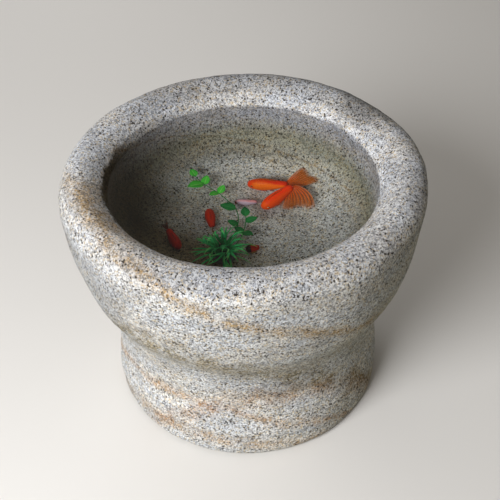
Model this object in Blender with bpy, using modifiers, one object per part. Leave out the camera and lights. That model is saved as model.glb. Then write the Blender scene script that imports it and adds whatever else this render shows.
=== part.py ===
"""Round granite trough with a waisted foot, holding a small water plant and six goldfish.

Metres, +Z up. The origin is the middle of the flat base, on the ground.
"""

import math

import bmesh
import bpy
import numpy as np
from mathutils import Matrix, Vector
from mathutils.geometry import intersect_point_line

# Clearances
SEAT_GAP = 0.0003
BORE_GAP = 0.0004
BLADE_CLEARANCE = 0.005
MERGE_DISTANCE = 0.00001
SHARP_ANGLE = 35.0

# Granite trough, outside
HEIGHT = 0.384
RIM_RADIUS = 0.250
WAIST_RADIUS = 0.196
FOOT_RADIUS = 0.2015
BASE_EDGE = 0.010
RIM_HEIGHT_SHARE = 0.93
WAIST_HEIGHT_SHARE = 0.31
FOOT_HEIGHT_SHARE = 0.09
# From waist to rim, as shares of the rise and of the growth in radius
BOWL_SHARES = ((0.18, 0.11), (0.31, 0.30), (0.47, 0.65), (0.66, 0.85), (0.855, 0.965))

# Granite trough, rim and basin
RIM_WIDTH = 0.064
CROWN_INSET = 0.028
LIP_DROP = 0.031
BASIN_DEPTH = 0.181
FLOOR_RADIUS = 0.080
ROUND_EXPONENT = 2.0
LIP_EXPONENT = 1.5
BASIN_EXPONENT = 2.2
TROUGH_SIDES = 64
BASIN_STEPS = 11
BOWL_STEPS = 2
FOOT_STEPS = 4
ARC_STEPS = 6

# The plant and the fish lie about a circle of this radius on the basin floor
GARDEN_RADIUS = 0.100

# Water plant: weight and stem
PLANT_PLACE_SHARES = (-0.30, -0.55)
WEIGHT_RADIUS = 0.018
WEIGHT_HEIGHT = 0.009
WEIGHT_BEVEL = 0.002
STEM_RADIUS = 0.002
STEM_SOCKET = 0.006
STEM_HEAD_RADIUS = 0.0045
STEM_HEAD_HEIGHT = 0.003
PLANT_SIDES = 24

# Water plant: grass whorls, from the lowest up, as name, blades, reach, rise and turn in degrees
HUB_RADIUS = 0.0065
HUB_HEIGHT = 0.006
BLADE_WIDTH = 0.0032
BLADE_THICKNESS = 0.0012
BLADE_TIP_SHARE = 0.25
BLADE_DROOP_SHARE = 0.72
BLADE_STEPS = 5
REACH_STEPS = 50
LOW_REACH = 0.052
LOW_RISE = 0.020
LOW_TURN = 0.0
MIDDLE_REACH = 0.042
MIDDLE_RISE = 0.034
MIDDLE_TURN = 11.0
TOP_REACH = 0.022
TOP_RISE = 0.048
TOP_TURN = 24.0
WHORLS = (
    ("grass_whorl_low", 15, LOW_REACH, LOW_RISE, LOW_TURN),
    ("grass_whorl_middle", 12, MIDDLE_REACH, MIDDLE_RISE, MIDDLE_TURN),
    ("grass_whorl_top", 8, TOP_REACH, TOP_RISE, TOP_TURN),
)

# Water plant: leafy stems
SPRIG_RADIUS = 0.0011
SPRIG_SOCKET = 0.005
SPRIG_LEVEL = 0.0048
SPRIG_RISE = 0.010
SPRIG_BEVEL_STEPS = 2
SPRIG_STEPS = 4
LEAF_LENGTH = 0.0135
LEAF_THICKNESS = 0.0018
LEAF_WIDTH_SHARE = 0.60
LEAF_OVERLAP_SHARE = 0.06
LEAF_POINT_SHARE = 0.5
# Routes: x and y as shares of the garden's radius, and height over the floor as a share of the rise
LONG_ROUTE_SHARES = (
    (-0.22, -0.30, 0.60),
    (-0.12, -0.08, 1.10),
    (-0.09, 0.14, 1.65),
    (-0.14, 0.34, 2.00),
    (-0.25, 0.50, 2.10),
    (-0.37, 0.66, 2.10),
    (-0.50, 0.78, 2.15),
    (-0.63, 0.88, 2.25),
    (-0.74, 1.00, 2.40),
)
SHORT_ROUTE_SHARES = (
    (-0.14, -0.37, 0.55),
    (-0.04, -0.20, 1.20),
    (0.01, -0.03, 2.10),
    (0.02, 0.11, 2.80),
)
# Leaves: place along the stem, length, and then heading and lift as shares of a whole turn
LONG_LEAF_SHARES = (
    (0.33, 0.96, 0.444, 0.078),
    (0.49, 1.33, 0.461, 0.039),
    (0.70, 0.96, 0.172, 0.067),
    (0.72, 0.89, 0.606, 0.050),
    (0.87, 1.04, 0.217, 0.061),
    (0.89, 1.04, 0.594, 0.044),
    (0.985, 0.96, 0.328, 0.056),
)
SHORT_LEAF_SHARES = (
    (0.62, 0.96, 0.917, 0.056),
    (0.64, 0.89, 0.389, 0.056),
    (0.84, 1.04, 0.056, 0.044),
    (0.98, 1.04, 0.264, 0.033),
)
SPRIGS = (
    ("leaf_sprig_long", LONG_ROUTE_SHARES, LONG_LEAF_SHARES),
    ("leaf_sprig_short", SHORT_ROUTE_SHARES, SHORT_LEAF_SHARES),
)

# Goldfish: body length from the nose to the root of the tail, then the rest
ORANGE_LENGTH = 0.0625
RED_LENGTH = 0.0604
WHITE_LENGTH = 0.0340
DARK_LENGTH = 0.0412
SMALL_LENGTH = 0.0200
BIG_WIDTH = 0.021
BIG_HEIGHT = 0.026
WHITE_WIDTH = 0.0085
WHITE_HEIGHT = 0.011
DARK_WIDTH = 0.0155
DARK_HEIGHT = 0.017
SMALL_WIDTH = 0.013
SMALL_HEIGHT = 0.014
ORANGE_TAIL_LENGTH = 0.034
ORANGE_TAIL_SPREAD = 0.030
RED_TAIL_LENGTH = 0.036
RED_TAIL_SPREAD = 0.036
WHITE_TAIL_LENGTH = 0.008
WHITE_TAIL_SPREAD = 0.009
DARK_TAIL_LENGTH = 0.016
DARK_TAIL_SPREAD = 0.014
SMALL_TAIL_LENGTH = 0.006
SMALL_TAIL_SPREAD = 0.010
FIN_THICKNESS = 0.0012
FISH_RINGS = 10
FISH_SIDES = 12
WIDEST_SHARE = 0.60
TAIL_ROOT_SHARE = 0.26
HEAD_EXPONENT = 2.2
TAIL_RISE_SHARE = 0.14
TAIL_SINK_SHARE = 0.05
# Nose x and y as shares of the garden's radius, then as shares of a whole turn: heading, pitch, tail turn and roll
ORANGE_PLACE_SHARES = (0.044, 0.941, 0.471, 0.012, 0.090, -0.050)
RED_PLACE_SHARES = (0.233, 0.357, 0.601, 0.045, -0.200, -0.045)
WHITE_PLACE_SHARES = (-0.15, 0.56, 0.486, 0.0, 0.0, 0.222)
MIDDLE_PLACE_SHARES = (-0.525, 0.40, 0.273, 0.0, 0.0, 0.222)
LEFT_PLACE_SHARES = (-0.92, -0.45, 0.820, 0.017, 0.0, 0.194)
SMALL_PLACE_SHARES = (0.0, -0.46, 0.511, 0.0, 0.0, 0.194)
# Fins as shares along the body from the tail root, and out from its middle in half heights or widths
DORSAL_SHARES = ((0.26, 0.30), (0.30, 0.90), (0.40, 1.28), (0.56, 1.45), (0.74, 1.15), (0.78, 0.30))
SIDE_FIN_SHARES = ((0.68, 0.30), (0.66, 1.00), (0.56, 1.25), (0.42, 1.38), (0.44, 1.10), (0.56, 0.30))
# Tail fin as shares of its length backwards and of half its spread
TAIL_SHARES = ((-0.12, 0.10), (0.30, 0.45), (0.66, 0.82), (1.0, 1.0), (0.88, 0.62), (0.72, 0.20), (0.68, 0.0))

# Colours as linear red, green and blue
GRANITE = (0.50, 0.45, 0.42)
LEAD_GREY = (0.10, 0.11, 0.11)
STEM_GREEN = (0.02, 0.13, 0.03)
GRASS_GREEN = (0.01, 0.16, 0.04)
LEAF_GREEN = (0.04, 0.30, 0.05)
FISH_ORANGE = (0.90, 0.16, 0.012)
FISH_RED = (0.82, 0.055, 0.008)
FISH_WHITE = (0.62, 0.42, 0.44)
FISH_DARK_RED = (0.45, 0.026, 0.010)


class Fish:
    """Where a goldfish lies, how big it is, and how its tail spreads."""

    def __init__(self, name, place_shares, length, width, height, tail_length, tail_spread, colour):
        x, y, *turn_shares = place_shares
        self.name = name
        self.heading, self.pitch, self.tail_turn, self.tail_roll = (
            math.radians(360.0) * share for share in turn_shares)
        self.length = length
        self.width = width
        self.height = height
        self.tail_length = tail_length
        self.tail_spread = tail_spread
        self.colour = colour
        self.nose = garden_place(x, y)
        forwards = Vector((math.cos(self.heading), math.sin(self.heading), 0.0))
        self.root = self.nose - forwards * length
        self.tail_end = self.root - Matrix.Rotation(self.tail_turn, 3, "Z") @ forwards * tail_length

    def clear_of(self, point):
        """How far a place on the floor lies outside the fish and its tail, seen from above."""
        spread = self.tail_spread * math.cos(self.tail_roll)
        return min(distance_to(point, self.nose, self.root) - self.width / 2.0,
                   distance_to(point, self.root, self.tail_end) - spread / 2.0)


def distance_to(point, start, end):
    """The distance from a point to a straight line between two others."""
    nearest, share = intersect_point_line(point, start, end)
    if share < 0.0:
        nearest = start
    elif share > 1.0:
        nearest = end
    return (nearest - point).length


def garden_place(x_share, y_share):
    """A place on the garden's plan."""
    return Vector((GARDEN_RADIUS * x_share, GARDEN_RADIUS * y_share, 0.0))


PLANT_PLACE = garden_place(*PLANT_PLACE_SHARES)
GOLDFISH = (
    Fish("goldfish_orange", ORANGE_PLACE_SHARES, ORANGE_LENGTH, BIG_WIDTH, BIG_HEIGHT,
         ORANGE_TAIL_LENGTH, ORANGE_TAIL_SPREAD, FISH_ORANGE),
    Fish("goldfish_red", RED_PLACE_SHARES, RED_LENGTH, BIG_WIDTH, BIG_HEIGHT,
         RED_TAIL_LENGTH, RED_TAIL_SPREAD, FISH_RED),
    Fish("goldfish_white", WHITE_PLACE_SHARES, WHITE_LENGTH, WHITE_WIDTH, WHITE_HEIGHT,
         WHITE_TAIL_LENGTH, WHITE_TAIL_SPREAD, FISH_WHITE),
    Fish("goldfish_middle", MIDDLE_PLACE_SHARES, DARK_LENGTH, DARK_WIDTH, DARK_HEIGHT,
         DARK_TAIL_LENGTH, DARK_TAIL_SPREAD, FISH_DARK_RED),
    Fish("goldfish_left", LEFT_PLACE_SHARES, DARK_LENGTH, DARK_WIDTH, DARK_HEIGHT,
         DARK_TAIL_LENGTH, DARK_TAIL_SPREAD, FISH_DARK_RED),
    Fish("goldfish_small", SMALL_PLACE_SHARES, SMALL_LENGTH, SMALL_WIDTH, SMALL_HEIGHT,
         SMALL_TAIL_LENGTH, SMALL_TAIL_SPREAD, FISH_DARK_RED),
)


def clear_scene():
    for obj in list(bpy.data.objects):
        bpy.data.objects.remove(obj, do_unlink=True)


def new_collection(name):
    collection = bpy.data.collections.new(name)
    bpy.context.scene.collection.children.link(collection)
    return collection


def new_material(name, colour, roughness):
    material = bpy.data.materials.new(name)
    material.use_nodes = True
    shader = material.node_tree.nodes["Principled BSDF"]
    shader.inputs["Base Color"].default_value = (*colour, 1.0)
    shader.inputs["Roughness"].default_value = roughness
    shader.inputs["Metallic"].default_value = 0.0
    material.diffuse_color = (*colour, 1.0)
    return material


def new_object(name, mesh, collection, material=None):
    obj = bpy.data.objects.new(name, mesh)
    collection.objects.link(obj)
    if material:
        mesh.materials.append(material)
    return obj


def object_from_bmesh(name, shape, collection, material=None):
    """Puts a finished bmesh into a new smooth-shaded object."""
    bmesh.ops.recalc_face_normals(shape, faces=shape.faces)
    mesh = bpy.data.meshes.new(name)
    shape.to_mesh(mesh)
    shape.free()
    mesh.shade_smooth()
    mesh.set_sharp_from_angle(angle=math.radians(SHARP_ANGLE))
    return new_object(name, mesh, collection, material)


def object_from_curve(curve_object, collection, material=None):
    """Makes a curve a closed mesh object in the curve's place."""
    bpy.context.view_layer.update()
    evaluated = curve_object.evaluated_get(bpy.context.evaluated_depsgraph_get())
    mesh = bpy.data.meshes.new_from_object(evaluated)
    shape = bmesh.new()
    shape.from_mesh(mesh)
    bmesh.ops.remove_doubles(shape, verts=shape.verts, dist=MERGE_DISTANCE)
    bpy.data.meshes.remove(mesh)
    obj = object_from_bmesh(curve_object.name + "_solid", shape, collection, material)
    obj.matrix_world = curve_object.matrix_world
    bpy.data.objects.remove(curve_object, do_unlink=True)
    return obj


def add_boolean(obj, tool, operation):
    """Joins or cuts an object with a tool that isn't a piece itself."""
    tool.hide_render = True
    tool.display_type = "WIRE"
    modifier = obj.modifiers.new(tool.name, "BOOLEAN")
    modifier.operation = operation
    modifier.solver = "EXACT"
    modifier.object = tool


def round_corner(centre, width, height, exponent, start, end, steps):
    """Points on a rounded corner, from start to end in quarter turns from +X towards +Z."""
    points = []
    for step in range(steps + 1):
        angle = math.radians(90.0) * (start + (end - start) * step / steps)
        across = math.copysign(abs(math.cos(angle)) ** (2.0 / exponent), math.cos(angle))
        up = math.copysign(abs(math.sin(angle)) ** (2.0 / exponent), math.sin(angle))
        points.append((centre[0] + width * across, centre[1] + height * up))
    return points


def turned_object(name, profile, sides, collection, material):
    """A piece turned about its own Z axis, from a profile of radius and height."""
    mesh = bpy.data.meshes.new(name)
    edges = [(index, index + 1) for index in range(len(profile) - 1)]
    mesh.from_pydata([(radius, 0.0, height) for radius, height in profile], edges, [])
    obj = new_object(name, mesh, collection, material)
    screw = obj.modifiers.new("turned", "SCREW")
    screw.axis = "Z"
    screw.steps = sides
    screw.render_steps = sides
    screw.use_merge_vertices = True
    screw.merge_threshold = MERGE_DISTANCE
    return obj


def basin_profile():
    """The basin from the middle of its floor out and up to the water line."""
    top = HEIGHT - LIP_DROP
    corner = round_corner((FLOOR_RADIUS, top), RIM_RADIUS - RIM_WIDTH - FLOOR_RADIUS, BASIN_DEPTH - LIP_DROP,
                          BASIN_EXPONENT, -1.0, 0.0, BASIN_STEPS)
    return [(0.0, HEIGHT - BASIN_DEPTH)] + corner


def rim_profile():
    """The rim from the water line over the crown to the widest line outside."""
    crown = RIM_RADIUS - CROWN_INSET
    rim_height = HEIGHT * RIM_HEIGHT_SHARE
    inner = round_corner((crown, HEIGHT - LIP_DROP), RIM_WIDTH - CROWN_INSET, LIP_DROP, LIP_EXPONENT,
                         2.0, 1.0, ARC_STEPS)
    outer = round_corner((crown, rim_height), CROWN_INSET, HEIGHT - rim_height, ROUND_EXPONENT,
                         1.0, 0.0, ARC_STEPS)
    return inner[1:] + outer[1:]


def smooth_line(knots, steps):
    """A smooth line through the knots, with so many points to each stretch."""
    ends = [knots[0] * 2.0 - knots[1]] + knots + [knots[-1] * 2.0 - knots[-2]]
    points = []
    for index in range(1, len(ends) - 2):
        before, start, end, after = ends[index - 1:index + 3]
        for step in range(steps):
            share = step / steps
            points.append(0.5 * (2.0 * start + (end - before) * share
                                 + (2.0 * before - 5.0 * start + 4.0 * end - after) * share ** 2
                                 + (3.0 * start - before - 3.0 * end + after) * share ** 3))
    return points + [knots[-1]]


def foot_profile():
    """The bowl's outside down to the waist, then the barrel foot and its rounded edge."""
    waist_height = HEIGHT * WAIST_HEIGHT_SHARE
    rise = HEIGHT * RIM_HEIGHT_SHARE - waist_height
    knots = [
        Vector((WAIST_RADIUS + (RIM_RADIUS - WAIST_RADIUS) * growth, waist_height + rise * up))
        for up, growth in ((1.0, 1.0), *reversed(BOWL_SHARES), (0.0, 0.0))
    ]
    points = [tuple(point) for point in smooth_line(knots, BOWL_STEPS)][1:-1]
    foot_height = HEIGHT * FOOT_HEIGHT_SHARE
    for step in range(FOOT_STEPS + 1):
        share = step / FOOT_STEPS
        ease = share * share * (3.0 - 2.0 * share)
        points.append((WAIST_RADIUS + (FOOT_RADIUS - WAIST_RADIUS) * ease,
                       waist_height + (foot_height - waist_height) * share))
    edge_centre = (FOOT_RADIUS - BASE_EDGE, BASE_EDGE)
    points += round_corner(edge_centre, BASE_EDGE, BASE_EDGE, ROUND_EXPONENT, 0.0, -1.0, ARC_STEPS)
    return points + [(0.0, 0.0)]


def floor_height(radius):
    """The highest that the faceted basin reaches at a distance from the axis."""
    basin = basin_profile()
    reach = radius / math.cos(math.pi / TROUGH_SIDES)
    return float(np.interp(reach, [point[0] for point in basin], [point[1] for point in basin]))


def stone_trough(collection):
    """One carved block: the basin, the thick rounded rim, the waist and the foot."""
    profile = basin_profile() + rim_profile() + foot_profile()
    granite = new_material("granite", GRANITE, 0.85)
    return turned_object("stone_trough", profile, TROUGH_SIDES, collection, granite)


def socket_tool(name, radius, depth, tools, plant, direction, mouth):
    """A round cutter centred on a socket's mouth, along the socket's direction."""
    shape = bmesh.new()
    bmesh.ops.create_cone(shape, cap_ends=True, segments=PLANT_SIDES, radius1=radius, radius2=radius,
                          depth=depth * 2.0)
    tool = object_from_bmesh(name, shape, tools)
    tool.parent = plant
    tool.rotation_euler = direction.to_track_quat("Z", "Y").to_euler()
    tool.location = mouth
    return tool


def plant_weight(collection, tools, plant):
    """The round weight that holds the plant down, with sockets for its stem and leafy stems."""
    edge = WEIGHT_RADIUS - WEIGHT_BEVEL
    profile = [
        (0.0, WEIGHT_HEIGHT),
        (edge, WEIGHT_HEIGHT),
        (WEIGHT_RADIUS, WEIGHT_HEIGHT - WEIGHT_BEVEL),
        (WEIGHT_RADIUS, WEIGHT_BEVEL),
        (edge, 0.0),
        (0.0, 0.0),
    ]
    lead = new_material("lead", LEAD_GREY, 0.6)
    weight = turned_object("plant_weight", profile, PLANT_SIDES, collection, lead)
    weight.parent = plant
    up = Vector((0.0, 0.0, 1.0))
    sockets = [("stem_socket", STEM_RADIUS + BORE_GAP, STEM_SOCKET, up, up * WEIGHT_HEIGHT)]
    for name, route_shares, _ in SPRIGS:
        out = sprig_direction(route_shares)
        mouth = out * WEIGHT_RADIUS + up * SPRIG_LEVEL
        sockets.append((name + "_socket", SPRIG_RADIUS + BORE_GAP, SPRIG_SOCKET, out, mouth))
    for name, radius, depth, out, mouth in sockets:
        add_boolean(weight, socket_tool(name, radius, depth, tools, plant, out, mouth), "DIFFERENCE")
    return weight


def plant_stem(collection, plant):
    """The rod that the whorls are threaded on, with a round head over the topmost."""
    foot = WEIGHT_HEIGHT - STEM_SOCKET + SEAT_GAP
    head = WEIGHT_HEIGHT + len(WHORLS) * (HUB_HEIGHT + SEAT_GAP) + SEAT_GAP
    profile = round_corner((0.0, head), STEM_HEAD_RADIUS, STEM_HEAD_HEIGHT, ROUND_EXPONENT, 1.0, 0.0, ARC_STEPS)
    profile += [(STEM_RADIUS, head), (STEM_RADIUS, foot), (0.0, foot)]
    green = new_material("stem", STEM_GREEN, 0.5)
    stem = turned_object("plant_stem", profile, PLANT_SIDES, collection, green)
    stem.parent = plant
    return stem


def blade_section(direction, share, reach, rise):
    """The corners of a blade's section at a share of its length: two below, then two above."""
    side = Vector((-direction.y, direction.x, 0.0))
    turn = math.pi * BLADE_DROOP_SHARE
    slope = math.atan2(rise * turn * math.cos(turn * share), reach - HUB_RADIUS)
    normal = Vector((0.0, 0.0, math.cos(slope))) - direction * math.sin(slope)
    taper = 1.0 - (1.0 - BLADE_TIP_SHARE) * share ** 2
    centre = direction * (HUB_RADIUS + (reach - HUB_RADIUS) * share)
    centre.z = rise * math.sin(turn * share)
    side *= BLADE_WIDTH / 2.0 * taper
    normal *= BLADE_THICKNESS / 2.0 * taper
    return {(-1, -1): centre - side - normal, (1, -1): centre + side - normal,
            (-1, 1): centre - side + normal, (1, 1): centre + side + normal}


def free_reach(direction, reach):
    """How far a blade may run before it comes over a fish or meets a leaf."""
    leaves = [place for _, route, leaf_shares in SPRIGS for place in leaf_places(route, leaf_shares)]
    for step in range(1, REACH_STEPS + 1):
        distance = reach * step / REACH_STEPS
        point = PLANT_PLACE + direction * distance
        near_fish = any(fish.clear_of(point) < BLADE_CLEARANCE for fish in GOLDFISH)
        near_leaf = any((point.xy - middle.xy).length < length / 2.0 + BLADE_CLEARANCE
                        for middle, length, _, _ in leaves)
        if near_fish or near_leaf:
            return distance
    return reach


def whorl_hub(shape, blades):
    """A short tube with two sides to each blade; gives its outer walls in order."""
    bore = STEM_RADIUS + BORE_GAP
    corners = [shape.verts.new((radius, 0.0, height)) for radius, height in
               ((bore, -HUB_HEIGHT / 2.0), (HUB_RADIUS, -HUB_HEIGHT / 2.0),
                (HUB_RADIUS, HUB_HEIGHT / 2.0), (bore, HUB_HEIGHT / 2.0))]
    outline = [shape.edges.new((corners[index - 1], corners[index])) for index in range(len(corners))]
    bmesh.ops.spin(shape, geom=outline, axis=(0.0, 0.0, 1.0), angle=math.radians(360.0), steps=2 * blades,
                   use_merge=True)
    bmesh.ops.remove_doubles(shape, verts=shape.verts, dist=MERGE_DISTANCE)
    bmesh.ops.recalc_face_normals(shape, faces=shape.faces)
    middle = (HUB_RADIUS + bore) / 2.0
    walls = [face for face in shape.faces if all(vertex.co.xy.length > middle for vertex in face.verts)]

    def bearing(face):
        centre = face.calc_center_median()
        return math.atan2(centre.y, centre.x)

    return sorted(walls, key=bearing)


def grass_whorl(level, collection, plant, material):
    """A moulded ring of arching blades, threaded on the stem."""
    name, blades, reach, rise, first_angle = WHORLS[level]
    turn = math.radians(first_angle)
    shape = bmesh.new()
    for wall in whorl_hub(shape, blades)[::2]:
        direction = wall.calc_center_median().normalized()
        angle = math.atan2(direction.y, direction.x) + turn
        length = free_reach(Vector((math.cos(angle), math.sin(angle), 0.0)), reach)
        side = Vector((-direction.y, direction.x, 0.0))
        corners = [(1 if vertex.co.dot(side) > 0.0 else -1, 1 if vertex.co.z > 0.0 else -1)
                   for vertex in wall.verts]
        face = wall
        for step in range(1, BLADE_STEPS + 1):
            face = bmesh.ops.extrude_discrete_faces(shape, faces=[face])["faces"][0]
            section = blade_section(direction, step / BLADE_STEPS, length, rise * length / reach)
            for vertex, corner in zip(face.verts, corners):
                vertex.co = section[corner]
    whorl = object_from_bmesh(name, shape, collection, material)
    whorl.parent = plant
    whorl.rotation_euler.z = turn
    whorl.location.z = WEIGHT_HEIGHT + HUB_HEIGHT / 2.0 + SEAT_GAP + level * (HUB_HEIGHT + SEAT_GAP)
    return whorl


def plant_base():
    """The plant's height on the basin floor, clear of it all round the weight."""
    return floor_height(PLANT_PLACE.length + WEIGHT_RADIUS) + SEAT_GAP


def sprig_direction(route_shares):
    """The way a leafy stem leaves the weight, seen from above."""
    return (garden_place(*route_shares[0][:2]) - PLANT_PLACE).normalized()


def sprig_route(route_shares):
    """A smooth line from inside the weight's socket along the route, in world space."""
    socket = PLANT_PLACE + Vector((0.0, 0.0, plant_base() + SPRIG_LEVEL))
    out = sprig_direction(route_shares)
    knots = [socket + out * (WEIGHT_RADIUS - SPRIG_SOCKET + SEAT_GAP), socket + out * WEIGHT_RADIUS]
    for x_share, y_share, height_share in route_shares:
        knot = garden_place(x_share, y_share)
        knot.z = floor_height(knot.length) + SPRIG_RISE * height_share
        knots.append(knot)
    return smooth_line(knots, SPRIG_STEPS)


def leaf_places(route_shares, leaf_shares):
    """Each leaf's middle, length, heading and lift."""
    points = sprig_route(route_shares)
    whole_turn = math.radians(360.0)
    places = []
    for along, length_share, heading_share, lift_share in leaf_shares:
        length = LEAF_LENGTH * length_share
        heading = whole_turn * heading_share
        lift = whole_turn * lift_share
        across = math.cos(lift)
        outwards = Vector((math.cos(heading) * across, math.sin(heading) * across, math.sin(lift)))
        stalk = points[round(along * (len(points) - 1))]
        places.append((stalk + outwards * length * (0.5 - LEAF_OVERLAP_SHARE), length, heading, lift))
    return places


def leaf_tool(name, place, tools):
    """A flat pointed leaf, to be joined to its stem."""
    middle, length, heading, lift = place
    shape = bmesh.new()
    bmesh.ops.create_uvsphere(shape, u_segments=10, v_segments=8, radius=0.5)
    for vertex in shape.verts:
        along = vertex.co.z
        narrowing = 1.0 - LEAF_POINT_SHARE * max(0.0, along)
        vertex.co = Vector((along * length, vertex.co.x * length * LEAF_WIDTH_SHARE * narrowing,
                            vertex.co.y * LEAF_THICKNESS))
    leaf = object_from_bmesh(name, shape, tools)
    leaf.location = middle
    leaf.rotation_euler = (0.0, -lift, heading)
    return leaf


def leaf_sprig(name, route_shares, leaf_shares, collection, tools, material):
    """A thin stem pushed into the weight, with its leaves."""
    curve = bpy.data.curves.new(name, "CURVE")
    curve.dimensions = "3D"
    curve.bevel_depth = SPRIG_RADIUS
    curve.bevel_resolution = SPRIG_BEVEL_STEPS
    curve.use_fill_caps = True
    points = sprig_route(route_shares)
    spline = curve.splines.new("POLY")
    spline.points.add(len(points) - 1)
    for target, point in zip(spline.points, points):
        target.co = (*point, 1.0)
    sprig = object_from_curve(new_object(name, curve, collection), collection, material)
    sprig.name = name
    for index, place in enumerate(leaf_places(route_shares, leaf_shares)):
        add_boolean(sprig, leaf_tool(f"{name}_leaf_{index + 1}", place, tools), "UNION")
    return sprig


def body_breadth(share):
    """A goldfish's breadth from the root of its tail to its nose, as a share of the widest."""
    if share < WIDEST_SHARE:
        rise = share / WIDEST_SHARE
        return TAIL_ROOT_SHARE + (1.0 - TAIL_ROOT_SHARE) * rise * rise * (3.0 - 2.0 * rise)
    fall = (share - WIDEST_SHARE) / (1.0 - WIDEST_SHARE)
    return math.sqrt(max(0.0, 1.0 - fall ** HEAD_EXPONENT))


def fish_body(fish, collection):
    """The body along +X, from the tail root at the origin to the nose."""
    shape = bmesh.new()
    bmesh.ops.create_uvsphere(shape, u_segments=FISH_SIDES, v_segments=FISH_RINGS, radius=1.0)
    for vertex in shape.verts:
        share = (vertex.co.z + 1.0) / 2.0
        ring = Vector((vertex.co.x, vertex.co.y))
        breadth = body_breadth(share) / max(ring.length, MERGE_DISTANCE)
        rise = fish.height * TAIL_RISE_SHARE * (1.0 - share) ** 2
        vertex.co = Vector((share * fish.length, ring.x * breadth * fish.width / 2.0,
                            ring.y * breadth * fish.height / 2.0 + rise))
    return object_from_bmesh(fish.name, shape, collection, new_material(fish.name, fish.colour, 0.35))


def flat_fin(name, outline, tools):
    """A thin fin in the XY plane from its outline."""
    curve = bpy.data.curves.new(name, "CURVE")
    curve.dimensions = "2D"
    curve.fill_mode = "BOTH"
    curve.extrude = FIN_THICKNESS / 2.0
    spline = curve.splines.new("POLY")
    spline.points.add(len(outline) - 1)
    spline.use_cyclic_u = True
    for target, (x, y) in zip(spline.points, outline):
        target.co = (x, y, 0.0, 1.0)
    return object_from_curve(new_object(name, curve, tools), tools)


def goldfish(fish, collection, tools):
    """A fish with its back fin, a pair of side fins and its tail, resting on the basin floor."""
    body = fish_body(fish, collection)
    upright = math.radians(90.0)
    dorsal = flat_fin(fish.name + "_back_fin",
                      [(x * fish.length, y * fish.height / 2.0) for x, y in DORSAL_SHARES], tools)
    dorsal.rotation_euler.x = upright
    fins = [dorsal]
    for side in (-1.0, 1.0):
        fin = flat_fin(fish.name + "_side_fin",
                       [(x * fish.length, y * side * fish.width / 2.0) for x, y in SIDE_FIN_SHARES], tools)
        fins.append(fin)
    outline = [(-x * fish.tail_length, y * fish.tail_spread / 2.0) for x, y in TAIL_SHARES]
    outline += [(x, -y) for x, y in reversed(outline[:-1])]
    tail = flat_fin(fish.name + "_tail", outline, tools)
    tail.rotation_euler = (fish.tail_roll, 0.0, fish.tail_turn)
    tail.location = (fish.length * TAIL_SINK_SHARE, 0.0, fish.height * TAIL_RISE_SHARE)
    fins.append(tail)
    for fin in fins:
        fin.parent = body
        add_boolean(body, fin, "UNION")
    body.rotation_euler = (0.0, fish.pitch, fish.heading)
    body.location = fish.root
    settle(body)
    return body


def settle(obj):
    """Lowers or lifts a piece until it rests just over the basin floor."""
    bpy.context.view_layer.update()
    evaluated = obj.evaluated_get(bpy.context.evaluated_depsgraph_get())
    mesh = evaluated.to_mesh()
    points = [evaluated.matrix_world @ vertex.co for vertex in mesh.vertices]
    obj.location.z += max(floor_height(point.xy.length) - point.z for point in points) + SEAT_GAP
    evaluated.to_mesh_clear()


def water_plant(collection, tools):
    """The plant's empty stands at the middle of its weight, on its lifting axis."""
    plant = bpy.data.objects.new("water_plant", None)
    collection.objects.link(plant)
    plant.location = PLANT_PLACE + Vector((0.0, 0.0, plant_base()))
    plant_weight(collection, tools, plant)
    plant_stem(collection, plant)
    grass = new_material("grass blade", GRASS_GREEN, 0.45)
    for level in range(len(WHORLS)):
        grass_whorl(level, collection, plant, grass)
    leaf = new_material("leaf", LEAF_GREEN, 0.4)
    for name, route_shares, leaf_shares in SPRIGS:
        leaf_sprig(name, route_shares, leaf_shares, collection, tools, leaf)
    return plant


def main():
    clear_scene()
    collection = new_collection("stone_trough_planter")
    tools = new_collection("shape_tools")
    stone_trough(collection)
    water_plant(collection, tools)
    for fish in GOLDFISH:
        goldfish(fish, collection, tools)


main()
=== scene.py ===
"""Dresses a round granite trough: rough stone, clear water, a water plant and six goldfish.

Metres, +Z up. The packed model is the frame, and each piece made here lies where its CAD node lies.
"""

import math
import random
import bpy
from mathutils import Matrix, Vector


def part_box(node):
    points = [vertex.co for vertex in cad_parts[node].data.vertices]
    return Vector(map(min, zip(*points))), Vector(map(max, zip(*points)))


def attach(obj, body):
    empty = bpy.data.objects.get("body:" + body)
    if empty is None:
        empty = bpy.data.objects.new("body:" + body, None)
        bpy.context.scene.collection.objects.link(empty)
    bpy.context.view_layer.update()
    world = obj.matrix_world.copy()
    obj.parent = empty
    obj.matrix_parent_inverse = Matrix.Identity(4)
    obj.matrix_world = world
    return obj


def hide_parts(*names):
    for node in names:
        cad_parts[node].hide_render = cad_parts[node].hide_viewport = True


bl_info = {
    "name": "Granite Water Trough",
    "version": (1, 0, 0),
    "blender": (4, 5, 0),
    "location": "View3D > Sidebar > Trough",
    "description": "Builds the stone, water, plant and goldfish of a round granite trough",
    "category": "Object",
}

from functools import partial

import bmesh
import bpy
import numpy as np
from bpy.props import FloatProperty, FloatVectorProperty, IntProperty, PointerProperty
from mathutils import Matrix, Vector

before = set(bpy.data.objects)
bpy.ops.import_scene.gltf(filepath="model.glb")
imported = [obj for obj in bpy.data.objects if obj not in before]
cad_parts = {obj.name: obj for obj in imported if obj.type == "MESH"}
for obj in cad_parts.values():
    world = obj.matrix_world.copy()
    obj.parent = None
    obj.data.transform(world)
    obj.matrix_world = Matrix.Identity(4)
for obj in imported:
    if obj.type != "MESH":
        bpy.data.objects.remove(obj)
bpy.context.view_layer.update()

MERGE = 0.00001
WATER_LINE = 0.353
# Stone within this radius and over this height is the basin's
BASIN_RADIUS = 0.1945
BASIN_FLOOR = 0.19
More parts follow.
